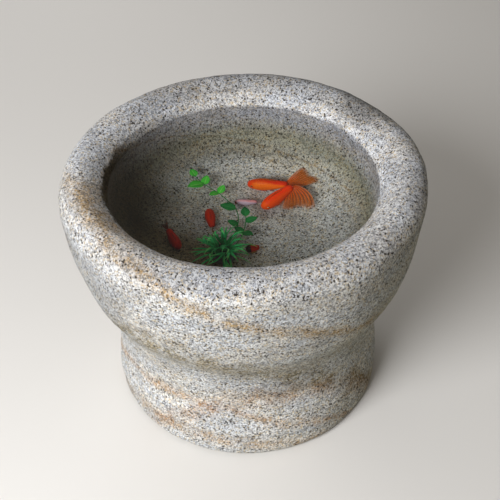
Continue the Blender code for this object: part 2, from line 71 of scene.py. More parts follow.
# Skin, leaves and plastic against water, which leaves them little shine
WET_IOR = 1.15
TURN = math.tau

# A circle on the basin floor that the plant and the fish are placed by
GARDEN_RADIUS = 0.100

# The photograph's view: an image 500 pixels square, seen with a focal length of 900 pixels
LENS = 64.8
SENSOR = 36.0
CAMERA_DISTANCE = 1.3218
CAMERA_ELEVATION = math.radians(41.514)
CAMERA_ROLL = math.radians(-1.427)
CAMERA_TARGET = (0.0066, 0.0, 0.2243)


def linear(code):
    """A colour's sRGB hex value as linear red, green, blue and alpha."""
    channels = [int(code[place:place + 2], 16) / 255.0 for place in (1, 3, 5)]
    return tuple(c / 12.92 if c <= 0.04045 else ((c + 0.055) / 1.055) ** 2.4 for c in channels) + (1.0,)


# Settings


def size_property(name, description, value):
    return FloatProperty(name=name, description=description, default=value, min=0.0, precision=4, unit="LENGTH")


def colour_property(name, description, code):
    return FloatVectorProperty(name=name, description=description, default=linear(code), size=4, min=0.0, max=1.0,
                               subtype="COLOR")


class TroughStoneSettings(bpy.types.PropertyGroup):
    """The carved granite's sizes and colours."""

    sides: IntProperty(name="Sides", description="Facets round the stone", default=420, min=64)
    facet: size_property("Facet", "Height of a facet along the outline", 0.0037)
    lump_size: size_property("Lump size", "Width of the swells that hand carving leaves", 0.085)
    lump_depth: size_property("Lump depth", "Depth of those swells", 0.0042)
    dent_size: size_property("Dent size", "Width of the hammer's dents", 0.011)
    dent_depth: size_property("Dent depth", "Depth of the hammer's dents", 0.0016)
    grain: size_property("Grain", "Width of one mineral grain", 0.0021)
    fleck: size_property("Fleck", "Width of one large dark crystal", 0.0036)
    feldspar: colour_property("Feldspar", "The white grains", "#EDEEF0")
    cream: colour_property("Cream feldspar", "The warm grains", "#DED1BB")
    quartz: colour_property("Quartz", "The clear grey grains", "#AFB0B2")
    lilac: colour_property("Lilac quartz", "The bluish grains", "#C8CAD1")
    # Partly painted shade: it darkens the basin's left wall, where shade falls
    damp_and_painted_shade: colour_property("Damp", "What stays of the light on the shaded damp wall", "#94866A")
    mica: colour_property("Mica", "The black grains", "#4C4540")
    rust: colour_property("Rust", "The iron stain along the bedding", "#DFC090")
    # Painted shadow: what stays of the light where the near wall shades the floor
    painted_floor_shadow: colour_property("Silt", "What stays of the light on the floor's brown silt", "#A09376")
    # Darkens the foot of the back wall
    darker_back_foot: colour_property("Thin silt", "What stays of the light on a thin layer of it", "#D4D3CE")
    film: colour_property("Film", "What stays of the light on stone deep in the water", "#9C9A84")
    shallow: colour_property("Shallow film", "What stays of the light near the water line", "#B7B7BA")


class TroughWaterSettings(bpy.types.PropertyGroup):
    """The water's sizes and colour."""

    sides: IntProperty(name="Sides", description="Facets round the water", default=128, min=32)
    overlap: size_property("Overlap", "How far the water's skin lies inside the stone", 0.006)
    tint: colour_property("Tint", "The colour that deep water keeps", "#C4C9A4")


class TroughPlantSettings(bpy.types.PropertyGroup):
    """The water plant's sizes and colours."""

    blade_width: size_property("Blade width", "Width of one grass blade", 0.0040)
    blade_thickness: size_property("Blade thickness", "Thickness of one grass blade", 0.0004)
    leaf_thickness: size_property("Leaf thickness", "Thickness of one round leaf", 0.0004)
    stalk: size_property("Stalk", "Radius of the leafy stems", 0.0007)
    blade_green: colour_property("Blade green", "The grass blades", "#18A058")
    tip_green: colour_property("Tip green", "The blades' tips", "#84E084")
    leaf_green: colour_property("Leaf green", "The young round leaves", "#46C83C")
    lead: colour_property("Lead", "The plant's weight", "#5B5E60")


class TroughFishSettings(bpy.types.PropertyGroup):
    """The goldfish's sizes and colours."""

    fin_thickness: size_property("Fin thickness", "Thickness of the fins", 0.0004)
    scale: size_property("Scale", "Width of one fish scale", 0.0014)
    black: colour_property("Black", "The fish's pupils", "#160C0C")


class TroughStageSettings(bpy.types.PropertyGroup):
    """The floor, the lamps and the surroundings."""

    floor: colour_property("Floor", "The plain floor", "#E2E0DC")
    bounce: colour_property("Bounce", "The light that the floor throws back up", "#96927A")
    surroundings: colour_property("Surroundings", "The even light from all sides", "#FBF4EA")
    ambient: FloatProperty(name="Ambient", description="Strength of the even light", default=0.26, min=0.0)
    key_power: FloatProperty(name="Key power", description="Power of the main lamp", default=60.0, min=0.0,
                             unit="POWER")
    key_size: size_property("Key size", "Width of the main lamp", 1.2)
    fill_power: FloatProperty(name="Fill power", description="Power of the lamp behind", default=8.0, min=0.0,
                              unit="POWER")
    fill_size: size_property("Fill size", "Width of the lamp behind", 1.6)


# Modelling


def deselect():
    if bpy.context.object and bpy.context.object.mode != "OBJECT":
        bpy.ops.object.mode_set(mode="OBJECT")
    bpy.ops.object.select_all(action="DESELECT")


def choose(*objects):
    """Makes these the selected objects, and the first one the active one."""
    deselect()
    for obj in objects:
        obj.select_set(True)
    bpy.context.view_layer.objects.active = objects[0]


def edit(obj):
    choose(obj)
    bpy.ops.object.mode_set(mode="EDIT")
    bpy.ops.mesh.select_mode(type="VERT")


def done():
    bpy.ops.object.mode_set(mode="OBJECT")


def pick(test):
    """Selects, in edit mode, the corners that pass a test."""
    mesh = bpy.context.object.data
    shape = bmesh.from_edit_mesh(mesh)
    for vertex in shape.verts:
        vertex.select_set(bool(test(vertex)))
    shape.select_flush_mode()
    bmesh.update_edit_mesh(mesh, loop_triangles=False, destructive=False)


def named(name):
    obj = bpy.context.object
    obj.name = name
    obj.data.name = name
    return obj


def add_modifier(obj, kind, **settings):
    """Adds a modifier with its settings and applies it."""
    choose(obj)
    bpy.ops.object.modifier_add(type=kind)
    modifier = obj.modifiers[-1]
    for name, value in settings.items():
        setattr(modifier, name, value)
    bpy.ops.object.modifier_apply(modifier=modifier.name)


def apply_place(obj):
    choose(obj)
    bpy.ops.object.transform_apply(location=True, rotation=True, scale=True)


def clean(obj, angle=40.0):
    """Closes seams, turns the faces outwards and smooths all but sharp edges."""
    edit(obj)
    bpy.ops.mesh.select_all(action="SELECT")
    bpy.ops.mesh.remove_doubles(threshold=MERGE)
    bpy.ops.mesh.normals_make_consistent(inside=False)
    done()
    bpy.ops.object.shade_smooth_by_angle(angle=math.radians(angle))
    return obj


def copy_of(obj, name):
    """A copy with a mesh of its own."""
    twin = obj.copy()
    twin.data = obj.data.copy()
    twin.name = twin.data.name = name
    bpy.context.scene.collection.objects.link(twin)
    return twin


def join(objects, name):
    choose(*objects)
    bpy.ops.object.join()
    return named(name)


def dress(obj, material):
    """Gives a piece one finish all over."""
    obj.data.materials.clear()
    obj.data.materials.append(material)


def finish(obj, material, body, *nodes, slot=None):
    """Gives a piece its finish, sets it on its CAD body and hides the nodes it stands for."""
    apply_place(obj)
    if material:
        dress(obj, material)
    deselect()
    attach(obj, body)
    if nodes:
        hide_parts(*nodes)
    return obj


def sheet(name, columns, rows, middle):
    """A flat grid of unit length and width, whose middle lies so far along X."""
    deselect()
    bpy.ops.mesh.primitive_grid_add(x_subdivisions=columns, y_subdivisions=rows, size=1.0,
                                    location=(middle, 0.0, 0.0))
    obj = named(name)
    apply_place(obj)
    return obj


def pick_column(columns, column):
    """Selects one column of a sheet's corners, which are numbered row by row."""
    pick(lambda vertex: vertex.index % (columns + 1) == column)


def pick_row(columns, row):
    pick(lambda vertex: vertex.index // (columns + 1) == row)


def thicken(obj, thickness):
    """Makes a sheet solid, half of it on either side, and smooths it."""
    add_modifier(obj, "SOLIDIFY", thickness=thickness, offset=0.0)
    bpy.ops.object.shade_smooth()


def discard(*objects):
    for obj in objects:
        bpy.data.objects.remove(obj, do_unlink=True)


def smooth_line(knots, steps):
    """A smooth line through the knots, with so many points to each stretch."""
    ends = [knots[0] * 2.0 - knots[1]] + knots + [knots[-1] * 2.0 - knots[-2]]
    points = []
    for index in range(1, len(ends) - 2):
        before, start, end, after = ends[index - 1:index + 3]
        for step in range(steps):
            share = step / steps
            points.append(0.5 * (2.0 * start + (end - before) * share
                                 + (2.0 * before - 5.0 * start + 4.0 * end - after) * share ** 2
                                 + (3.0 * start - before - 3.0 * end + after) * share ** 3))
    return points + [knots[-1]]


def stone_outline():
    """The trough's turned outline from its CAD node, from the edge of the floor over the rim to the base."""
    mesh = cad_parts["stone_trough"].data
    places, nearby = {}, {}
    for vertex in mesh.vertices:
        if abs(vertex.co.y) < MERGE and vertex.co.x > MERGE:
            places[vertex.index] = (round(vertex.co.x, 4), round(vertex.co.z, 4))
    for edge in mesh.edges:
        start, end = (places.get(index) for index in edge.vertices)
        if start and end and start != end:
            nearby.setdefault(start, set()).add(end)
            nearby.setdefault(end, set()).add(start)
    point = max((place for place in nearby if len(nearby[place]) == 1), key=lambda place: place[1])
    outline = [point]
    while True:
        onward = [place for place in nearby[point] if place not in outline]
        if not onward:
            return [Vector((radius, 0.0, height)) for radius, height in outline]
        point = onward[0]
        outline.append(point)


OUTLINE = stone_outline()


def basin_outline():
    """The wall of the basin, from the edge of its floor up to the water line."""
    crest = OUTLINE.index(max(OUTLINE, key=lambda place: place.z))
    return [point for point in OUTLINE[:crest] if point.z <= WATER_LINE + MERGE]


def floor_height(radius):
    """The height of the basin's surface at a distance from the axis."""
    wall = basin_outline()
    return float(np.interp(radius, [point.x for point in wall], [point.z for point in wall]))


def even_steps(points, step):
    """Points at even distances along a line of points."""
    lengths = np.cumsum([0.0] + [(b - a).length for a, b in zip(points, points[1:])])
    marks = np.linspace(0.0, lengths[-1], max(2, round(lengths[-1] / step) + 1))
    columns = [np.interp(marks, lengths, [point[axis] for point in points]) for axis in range(3)]
    return [Vector(place) for place in zip(*columns)]


# Finishes


# How much taller the grains are drawn for each metre under water
GRAIN_STRETCH = 0.45
# Scales along a fish, and from its belly to its back
SCALE_ROWS = (26.0, 11.0, 1.0)


def feed(node, inputs):
    """Sets a node's inputs: each is a value, or the socket that feeds it."""
    for key, value in inputs.items():
        if isinstance(value, bpy.types.NodeSocket):
            node.id_data.links.new(value, node.inputs[key])
        else:
            node.inputs[key].default_value = value


def add_node(tree, kind, inputs=None, stops=(), interpolation="LINEAR", **settings):
    """Adds a node with its settings, its inputs and a ramp's stops, and gives its outputs."""
    node = tree.nodes.new("ShaderNode" + kind)
    for name, value in settings.items():
        setattr(node, name, value)
    feed(node, inputs or {})
    if stops:
        node.color_ramp.interpolation = interpolation
        elements = node.color_ramp.elements
        while len(elements) < len(stops):
            elements.new(1.0)
        for element, (place, colour) in zip(elements, stops):
            element.position = place
            element.color = colour
    return node.outputs


def new_material(name):
    """A material with an empty Principled shader; gives it and the function that adds its nodes."""
    material = bpy.data.materials.new(name)
    material.use_nodes = True
    return material, partial(add_node, material.node_tree)


def shader_of(material):
    return material.node_tree.nodes["Principled BSDF"]


def dimmed(colour, share):
    return tuple(channel * share for channel in colour[:3]) + (1.0,)


def cover(material, colour, roughness, relief, others, invert=False):
    """Gives the shader a colour, a roughness, a relief from a height, its strength and its depth, and the rest."""
    height, strength, depth = relief
    normal = add_node(material.node_tree, "Bump", {"Height": height, "Strength": strength, "Distance": depth},
                      invert=invert)["Normal"]
    feed(shader_of(material), {"Base Color": colour, "Roughness": roughness, "Normal": normal, **others})


def pattern_places(node, patch):
    """How far along and across its map a place lies, from 0 to 1, soft patches of a size, and the map."""
    place = node("TexCoord")
    along, across, _ = node("SeparateXYZ", {"Vector": place["UV"]})
    cloud = node("TexNoise", {"Vector": place["Object"], "Scale": 1.0 / patch})["Fac"]
    return along, across, cloud, place["UV"]


def off_middle(node, across):
    """How far a place lies from the middle line of its map, on either side."""
    side = node("Math", {0: across, 1: 0.5}, operation="SUBTRACT")[0]
    return node("Math", {0: side}, operation="ABSOLUTE")[0]


def stripes(node, place, count, low):
    """So many even stripes: 1 along their middles, and 0 where their wave is below a height."""
    wave = node("Math", {0: place, 1: count * TURN}, operation="MULTIPLY")[0]
    wave = node("Math", {0: wave}, operation="SINE")[0]
    return node("MapRange", {"Value": wave, "From Min": low, "From Max": 1.0})["Result"]


class Granite:
    """Bush-hammered granite: coarse pale feldspar and quartz with black mica, dull and stained by iron."""

    def __init__(self):
        self.stone = bpy.context.scene.trough_stone
        self.material, self.node = new_material("bush_hammered_granite")
        node = self.node
        self.place = node("TexCoord")["Object"]
        self.x, self.y, self.z = node("SeparateXYZ", {"Vector": self.place})
        flat = node("VectorMath", {0: self.place, 1: (1.0, 1.0, 0.0)}, operation="MULTIPLY")[0]
        self.radius = node("VectorMath", {0: flat}, operation="LENGTH")["Value"]
        self.inside = self.where(node("Math", {0: self.radius, 1: BASIN_RADIUS}, operation="LESS_THAN")[0],
                                 node("Math", {0: self.z, 1: BASIN_FLOOR}, operation="GREATER_THAN")[0])
        self.outside = node("Math", {0: 1.0, 1: self.inside}, operation="SUBTRACT")[0]
        self.ragged = self.pulled_about()
        self.cloud = self.clouds()
        self.waver = node("Math", {0: self.cloud["waver"], 1: 0.060, 2: -0.030}, operation="MULTIPLY_ADD")[0]
        self.speckled = self.where((self.cloud["stain"], 0.36, 0.60, 0.30, 1.0),
                                   (self.cloud["speck"], 0.38, 0.60, 0.35, 1.0))

    def where(self, *parts):
        """The product of its parts: shares, or soft edges as a measure, where it starts and ends, and the shares."""
        product = None
        for part in parts:
            if isinstance(part, tuple):
                value, start, end, *shares = part
                low, high = shares or (0.0, 1.0)
                part = self.node("MapRange", {"Value": value, "From Min": start, "From Max": end, "To Min": low,
                                              "To Max": high}, interpolation_type="SMOOTHSTEP")["Result"]
            product = part if product is None else self.node("Math", {0: product, 1: part}, operation="MULTIPLY")[0]
        return product

    def level(self, normal, distance=0.0):
        """How high a place lies over a tilted plane."""
        along = self.node("VectorMath", {0: self.place, 1: normal}, operation="DOT_PRODUCT")["Value"]
        return self.node("Math", {0: along, 1: distance}, operation="SUBTRACT")[0]

    def crystals(self, size):
        """Grains of a size: how far a place is from the middle of its grain, and the grain's lot from 0 to 1."""
        cells = self.node("TexVoronoi", {"Vector": self.ragged, "Scale": 1.0 / size}, feature="F1")
        return cells["Distance"], self.node("SeparateColor", {"Color": cells["Color"]})[0]

    def bed(self, height, width, bend, *parts):
        """A bed as thick as its width, bent by the waver, of those parts' strength."""
        off = self.node("Math", {0: self.waver, 1: bend, 2: height}, operation="MULTIPLY_ADD")[0]
        return self.where((self.node("Math", {0: off}, operation="ABSOLUTE")[0], width, 0.0), *parts)

    def pulled_about(self):
        """The place that the grains are read at: they aren't round, so it is pulled about by less than a grain."""
        node, grain = self.node, self.stone.grain
        pull = node("TexNoise", {"Vector": self.place, "Scale": 1.0 / (grain * 1.4), "Detail": 1.0})["Color"]
        pull = node("VectorMath", {0: pull, 1: (0.5, 0.5, 0.5)}, operation="SUBTRACT")[0]
        pull = node("VectorMath", {0: pull, "Scale": grain * 0.9}, operation="SCALE")[0]
        ragged = node("VectorMath", {0: self.place, 1: pull})[0]
        # Water flattens what is seen through it, so the wall's grains are drawn taller to show at all
        depth = node("Math", {0: WATER_LINE, 1: self.z}, operation="SUBTRACT")[0]
        depth = node("Math", {0: depth, 1: 0.0}, operation="MAXIMUM")[0]
        taller = node("CombineXYZ", {2: self.where(self.inside, depth, GRAIN_STRETCH)})[0]
        return node("VectorMath", {0: ragged, 1: taller})[0]

    def clouds(self):
        """Soft patches, each as name, place, width, detail and roughness."""
        place, stone = self.place, self.stone
        # The rock's seams and the thinner layers in them lie flat, so their noise is read on a squeezed place
        seams, layers = (self.node("VectorMath", {0: place, 1: squeeze}, operation="MULTIPLY")[0]
                         for squeeze in ((0.6, 0.6, 1.5), (0.25, 0.25, 2.5)))
        return {
            name: self.node("TexNoise", {"Vector": source, "Scale": 1.0 / size, "Detail": detail,
                                         "Roughness": rough})["Fac"]
            for name, source, size, detail, rough in (
                ("warmth", seams, 0.045, 3.0, 0.5), ("shade", place, 0.035, 4.0, 0.6),
                ("layers", layers, 0.020, 3.0, 0.5), ("waver", place, 0.070, 3.0, 0.5),
                ("stain", place, 0.022, 3.0, 0.5), ("speck", place, 0.0030, 2.0, 0.5),
                ("creep", place, 0.010, 3.0, 0.5), ("dents", place, stone.dent_size * 0.5, 3.0, 0.6),
                ("grit", place, stone.grain * 0.5, 2.0, 0.5),
            )
        }

    def minerals(self, grain_lot):
        """The grains' colours, then what lies over them: finer grains in them, and large dark crystals."""
        node, stone = self.node, self.stone
        _, fine_lot = self.crystals(stone.grain * 0.55)
        reach, fleck_lot = self.crystals(stone.fleck)
        grains = node("ValToRGB", {"Fac": grain_lot}, (
            (0.0, stone.mica), (0.055, stone.quartz), (0.20, stone.feldspar), (0.46, stone.lilac),
            (0.60, stone.cream), (0.72, stone.feldspar), (0.91, stone.quartz),
        ), "CONSTANT")["Color"]
        fine = node("ValToRGB", {"Fac": fine_lot}, (
            (0.0, linear("#6E6863")), (0.15, linear("#FFFFFF")), (0.55, linear("#D8D9DB")), (0.80, linear("#F3F2F0")),
        ), "CONSTANT")["Color"]
        flecks = self.where(node("Math", {0: fleck_lot, 1: 0.040}, operation="LESS_THAN")[0],
                            node("Math", {0: reach, 1: 0.42}, operation="LESS_THAN")[0])
        return grains, [("MULTIPLY", 0.68, fine), ("MIX", flecks, stone.mica)]

    def patches(self):
        """Wide patches, warmer or cooler and a little lighter or darker, and painted shade and light on the rim, the
        bowl and the foot.
        """
        where, cloud, x, y, z = self.where, self.cloud, self.x, self.y, self.z
        tint = self.node("Mix", {0: where((cloud["warmth"], 0.38, 0.62)), 6: linear("#EFF2F6"),
                                 7: linear("#F5F2EC")}, data_type="RGBA")[2]
        # The rim's top is grey from wear and painted shade, but not at its left, less at its right front, and hardly
        # at its near inner edge, which painted light keeps pale
        near = where((self.radius, 0.226, 0.214), (y, -0.090, -0.140))
        wear_and_painted_shade = where((z, 0.362, 0.380), (x, -0.210, -0.110), (self.level((1.0, -0.6, 0.0)), 0.080, 0.220, 1.0, 0.35),
                     (near, 0.0, 1.0, 1.0, 0.15))
        # Painted shade darkens the outside at the back right, below the rim
        painted_shade_back_right = where((x, 0.115, 0.175), (y, 0.060, 0.140), (z, 0.260, 0.340), self.outside)
        # Painted light makes the foot paler, and painted shade makes the left of the bowl darker
        bowl = where((z, 0.140, 0.200), (z, 0.360, 0.330), (x, -0.105, -0.195))
        shade = where((cloud["shade"], 0.30, 0.70, 0.84, 1.05), (wear_and_painted_shade, 0.0, 1.0, 1.0, 0.69),
                      (painted_shade_back_right, 0.0, 1.0, 1.0, 0.62), (z, 0.100, 0.170, 1.18, 1.0), (bowl, 0.0, 1.0, 1.0, 0.78),
                      (cloud["layers"], 0.35, 0.65, 0.92, 1.06))
        return [("MULTIPLY", 0.8, tint), ("MULTIPLY", 1.0, shade)]

    def iron(self):
        """Iron stain in beds that cut across the stone, speckled where they meet its surface."""
        # The rust dips over the left of the rim and runs on under its front; the rest stain the waist and the foot
        dip = self.node("Math", {0: self.level((0.488, 0.270, 0.830), 0.1954),
                                 1: self.level((0.326, 0.230, 0.917), 0.2363)}, operation="MINIMUM")[0]
        rust = self.bed(dip, 0.0170, 0.25, (self.y, 0.020, -0.060), self.outside, self.speckled)
        stains = [("MULTIPLY", rust, self.stone.rust)]
        for normal, distance, width, bend, strength, code in (
            ((0.299, 0.559, 0.773), 0.0385, 0.030, 0.4, 1.00, "#B4A47C"),
            ((-0.165, 0.783, 0.600), -0.0815, 0.022, 0.5, 0.75, "#CFA880"),
            ((0.281, 0.401, 0.872), -0.0029, 0.012, 0.5, 0.90, "#D8AE7C"),
            ((0.136, 0.307, 0.942), -0.0326, 0.020, 0.5, 0.85, "#D8B890"),
        ):
            stain = self.bed(self.level(normal, distance), width, bend, strength, self.speckled)
            stains.append(("MULTIPLY", stain, linear(code)))
        # Two thin arcs on the basin's wall, and a faint wide one behind them
        thick, thin, wide = (
            self.bed(self.level((0.321, 0.339, 0.884), distance), width, bend, strength)
            for distance, width, bend, strength in ((0.2854, 0.0045, 0.2, 1.0), (0.262, 0.006, 0.3, 0.6),
                                                    (0.268, 0.040, 0.3, 0.12))
        )
        arcs = self.node("Math", {0: thick, 1: thin}, operation="MAXIMUM")[0]
        arcs = self.node("Math", {0: self.where(arcs, self.speckled), 1: wide}, operation="MAXIMUM")[0]
        return stains + [("MULTIPLY", self.where(arcs, self.inside), linear("#C8A672"))]

    def water_marks_and_painted_shade(self):
        """Stone under water is darker, its wall most of all, and on the wall's shaded side damp creeps up, darkened
        further by painted shade.
        """
        node, where, stone, inside, x, y, z = (self.node, self.where, self.stone, self.inside, self.x, self.y, self.z)
        edge = node("Math", {0: self.waver, 1: 0.15, 2: z}, operation="MULTIPLY_ADD")[0]
        creep = node("Math", {0: self.cloud["creep"], 1: 0.014, 2: edge}, operation="MULTIPLY_ADD")[0]
        wet = where(inside, (edge, WATER_LINE + 0.004, WATER_LINE - 0.003), (z, 0.205, 0.285))
        # Damp on the wall's shaded left, partly painted shade
        damp_and_painted_shade = where(inside, (self.level((1.0, -0.25, 0.0)), -0.095, -0.175), (y, 0.030, 0.130, 1.0, 0.25),
                     (creep, 0.375, 0.368))
        film = node("Mix", {0: where((z, 0.265, 0.325)), 6: stone.film, 7: stone.shallow}, data_type="RGBA")[2]
        # Painted shadow of the near wall darkens the near left of the floor, and the foot of the back wall is a
        # little darker
        low = where(inside, (z, 0.275, 0.235))
        painted_floor_shadow = where(low, (self.level((0.35, 0.94, 0.0)), -0.015, -0.055), (x, 0.030, -0.040))
        darker_back_foot = where(low, (y, 0.090, 0.150), (z, 0.218, 0.240))
        return [("MULTIPLY", node("Math", {0: wet, 1: damp_and_painted_shade}, operation="MAXIMUM")[0], film),
                ("MULTIPLY", damp_and_painted_shade, stone.damp_and_painted_shade), ("MULTIPLY", painted_floor_shadow, stone.painted_floor_shadow),
                ("MULTIPLY", darker_back_foot, stone.darker_back_foot)]

    def finish(self):
        """Lays the colours over each other, and hammers the relief: dents a few grains wide, and uneven grains."""
        _, grain_lot = self.crystals(self.stone.grain)
        colour, covers = self.minerals(grain_lot)
        for kind, share, tone in (*covers, *self.patches(), *self.iron(), *self.water_marks_and_painted_shade()):
            colour = self.node("Mix", {0: share, 6: colour, 7: tone}, data_type="RGBA", blend_type=kind)[2]
        height = 0.0
        for part, weight in ((self.cloud["dents"], 0.9), (grain_lot, 0.22), (self.cloud["grit"], 0.35)):
            height = self.node("Math", {0: part, 1: weight, 2: height}, operation="MULTIPLY_ADD")[0]
        cover(self.material, colour, self.where((grain_lot, 0.0, 1.0, 0.78, 0.92)),
              (height, 0.75, 0.0012), {"IOR": 1.50, "Specular IOR Level": 0.35})
        return self.material


def water_finish():
    """Still clear water: a sharp smooth surface that bends what lies below it, faintly olive with depth."""
    water = bpy.context.scene.trough_water
    material, node = new_material("still_water")
    shader = shader_of(material)
    feed(shader, {"Base Color": (1.0, 1.0, 1.0, 1.0), "Roughness": 0.0, "IOR": 1.333, "Transmission Weight": 1.0})
    # Lamps and light scattered by the stone pass straight through, so the basin is lit without speckle
    rays = node("LightPath")
    through = node("Math", {0: rays["Is Shadow Ray"], 1: rays["Is Diffuse Ray"]}, operation="MAXIMUM")[0]
    clear = node("BsdfTransparent")[0]
    surface = node("MixShader", {0: through, 1: shader.outputs[0], 2: clear})[0]
    depth = node("VolumeAbsorption", {"Color": tuple(water.tint), "Density": 1.2})[0]
    feed(material.node_tree.nodes["Material Output"], {"Surface": surface, "Volume": depth})
    return material


def plain_finish(name, colour, roughness, patch, depth):
    """A near even surface with soft patches, for the floor and the plant's weight and stem."""
    material, node = new_material(name)
    place = node("TexCoord")["Object"]
    cloud = node("TexNoise", {"Vector": place, "Scale": 1.0 / patch, "Detail": 3.0})["Fac"]
    tone = node("Mix", {0: cloud, 6: dimmed(colour, 1.0 - depth), 7: tuple(colour)}, data_type="RGBA")[2]
    cover(material, tone, roughness, (cloud, 0.2, 0.0005), {})
    return material


def blade_finish():
    """Moulded plastic grass: deep green and satin, lighter towards the tips, with a vein down each blade."""
    plant = bpy.context.scene.trough_plant
    material, node = new_material("moulded_plastic_blade")
    along, across, patch, _ = pattern_places(node, 0.010)
    mixed = node("Math", {0: along, 1: 0.62, 2: patch}, operation="MULTIPLY_ADD")[0]
    mixed = node("Math", {0: mixed, 1: 0.15}, operation="SUBTRACT")[0]
    green = node("ValToRGB", {"Fac": mixed}, (
        (0.25, linear("#06462C")), (0.48, tuple(plant.blade_green)), (0.72, linear("#40C474")),
        (1.0, tuple(plant.tip_green)),
    ))["Color"]
    cover(material, green, 0.45, (off_middle(node, across), 0.5, 0.0006), {"IOR": WET_IOR})
    return material


def leaf_finish(name, dark, light, rib_colour):
    """A water weed's oval leaf: thin and green with a pale midrib and side veins, hardly shining under water."""
    material, node = new_material(name)
    along, across, patch, _ = pattern_places(node, 0.012)
    side = off_middle(node, across)
    # Side veins run out and forwards from the midrib, eight to a leaf
    slant = node("Math", {0: side, 1: -1.2, 2: along}, operation="MULTIPLY_ADD")[0]
    rib = node("MapRange", {"Value": side, "From Min": 0.015, "From Max": 0.05, "To Min": 1.0,
                            "To Max": 0.0})["Result"]
    lines = node("Math", {0: stripes(node, slant, 8.0, 0.75), 1: 0.35, 2: rib}, operation="MULTIPLY_ADD")[0]
    lines = node("Math", {0: lines, 1: 0.5}, operation="MULTIPLY")[0]
    green = node("ValToRGB", {"Fac": patch}, ((0.28, dark), (0.54, light)))["Color"]
    green = node("Mix", {0: lines, 6: green, 7: rib_colour}, data_type="RGBA")[2]
    cover(material, green, 0.45, (lines, 0.6, 0.0004), {"IOR": WET_IOR})
    return material


def skin_finish(name, back, flank, belly, head, head_from):
    """A goldfish's skin: fine overlapping scales, red along the back, brighter on the flank, dull under water."""
    fish = bpy.context.scene.trough_fish
    material, node = new_material(name)
    along, up, patch, skin_map = pattern_places(node, 0.006)
    height = node("Math", {0: patch, 1: 0.10, 2: up}, operation="MULTIPLY_ADD")[0]
    sides = node("ValToRGB", {"Fac": height}, (
        (0.25, belly), (0.45, flank), (0.88, flank), (1.0, back),
    ))["Color"]
    edge = node("Math", {0: patch, 1: 0.12, 2: along}, operation="MULTIPLY_ADD")[0]
    front = node("MapRange", {"Value": edge, "From Min": head_from + 0.05,
                              "From Max": head_from + 0.14})["Result"]
    colour = node("Mix", {0: front, 6: sides, 7: head}, data_type="RGBA")[2]
    # Scales, each darker at its rim: drawn at twice their real size, so that they show at all
    rows = node("VectorMath", {0: skin_map, 1: SCALE_ROWS}, operation="MULTIPLY")[0]
    cells = node("TexVoronoi", {"Vector": rows, "Scale": 1.0, "Randomness": 0.35})["Distance"]
    rim = node("MapRange", {"Value": cells, "From Min": 0.35, "From Max": 0.75, "To Min": 0.0,
                            "To Max": 0.35})["Result"]
    colour = node("Mix", {0: rim, 6: colour, 7: back}, data_type="RGBA", blend_type="MULTIPLY")[2]
    cover(material, colour, 0.35, (cells, 0.35, fish.scale * 0.2), {"IOR": WET_IOR}, invert=True)
    return material


def fin_finish(name, root, edge, clearness):
    """A goldfish's fin: a thin film stiffened by rays, with clear skin between them and towards its edge."""
    material, node = new_material(name)
    place = node("TexCoord")["UV"]
    along, across, _ = node("SeparateXYZ", {"Vector": place})
    # Nine rays are fewer and wider than the real ones, so that they show at all
    rays = stripes(node, across, 9.0, -1.0)
    between = node("MapRange", {"Value": rays, "To Min": 0.75, "To Max": 0.0})["Result"]
    # The fan's outer rays are pale, partly a painted highlight
    pale_edge_and_painted_highlight = node("MapRange", {"Value": off_middle(node, across), "From Min": 0.46, "From Max": 0.49,
                                "To Max": 0.5})["Result"]
    colour = root
    for share, tone in ((along, edge), (between, dimmed(root, 0.25)), (pale_edge_and_painted_highlight, linear("#F6D2B0"))):
        colour = node("Mix", {0: share, 6: colour, 7: tone}, data_type="RGBA")[2]
    thin = node("MapRange", {"Value": along, "From Min": 0.25, "From Max": 1.0, "To Min": clearness,
                             "To Max": clearness - 0.38})["Result"]
    skin = node("MapRange", {"Value": rays, "To Min": 0.30, "To Max": 1.15})["Result"]
    thin = node("Math", {0: thin, 1: skin}, operation="MULTIPLY")[0]
    cover(material, colour, 0.40, (rays, 0.4, 0.0003), {"IOR": WET_IOR, "Alpha": thin})
    return material


def eye_finish(name, colour):
    """A fish's eye: smooth, wet and very glossy."""
    material, node = new_material(name)
    place = node("TexCoord")["Object"]
    fleck = node("TexNoise", {"Vector": place, "Scale": 1.0 / 0.001})["Fac"]
    tone = node("Mix", {0: fleck, 6: dimmed(colour, 0.6), 7: tuple(colour)}, data_type="RGBA")[2]
    feed(shader_of(material), {"Base Color": tone, "Roughness": 0.08})
    return material


def floor_finish(stage):
    """A pale matt floor that throws only a little light back up at the stone."""
    material = plain_finish("matt_floor_paint", stage.floor, 0.9, 0.9, 0.02)
    node = partial(add_node, material.node_tree)
    shader = shader_of(material)
    pale = shader.inputs["Base Color"].links[0].from_socket
    scattered = node("LightPath")["Is Diffuse Ray"]
    seen = node("Mix", {0: scattered, 6: pale, 7: tuple(stage.bounce)}, data_type="RGBA")[2]
    feed(shader, {"Base Color": seen})
    return material


# Stone


# The surface is carved finer within the first radius of the basin, and stays under its floor within the second
FINER_RADIUS = 0.19
FLOOR_RADIUS = 0.18
# Swells of the bowl's left, the foot's left and the rim, as place, move and width
SWELLS = (
    ((-0.243, -0.040, 0.285), (-0.0042, -0.0010, 0.0), 0.085),
    ((-0.196, -0.060, 0.050), (-0.0035, -0.0012, 0.0), 0.060),
    ((0.120, -0.214, 0.330), (0.0010, -0.0022, 0.0), 0.070),
    ((0.180, 0.130, 0.384), (0.0, 0.0, -0.0020), 0.060),
    ((-0.060, -0.214, 0.384), (0.0, 0.0, 0.0012), 0.070),
)


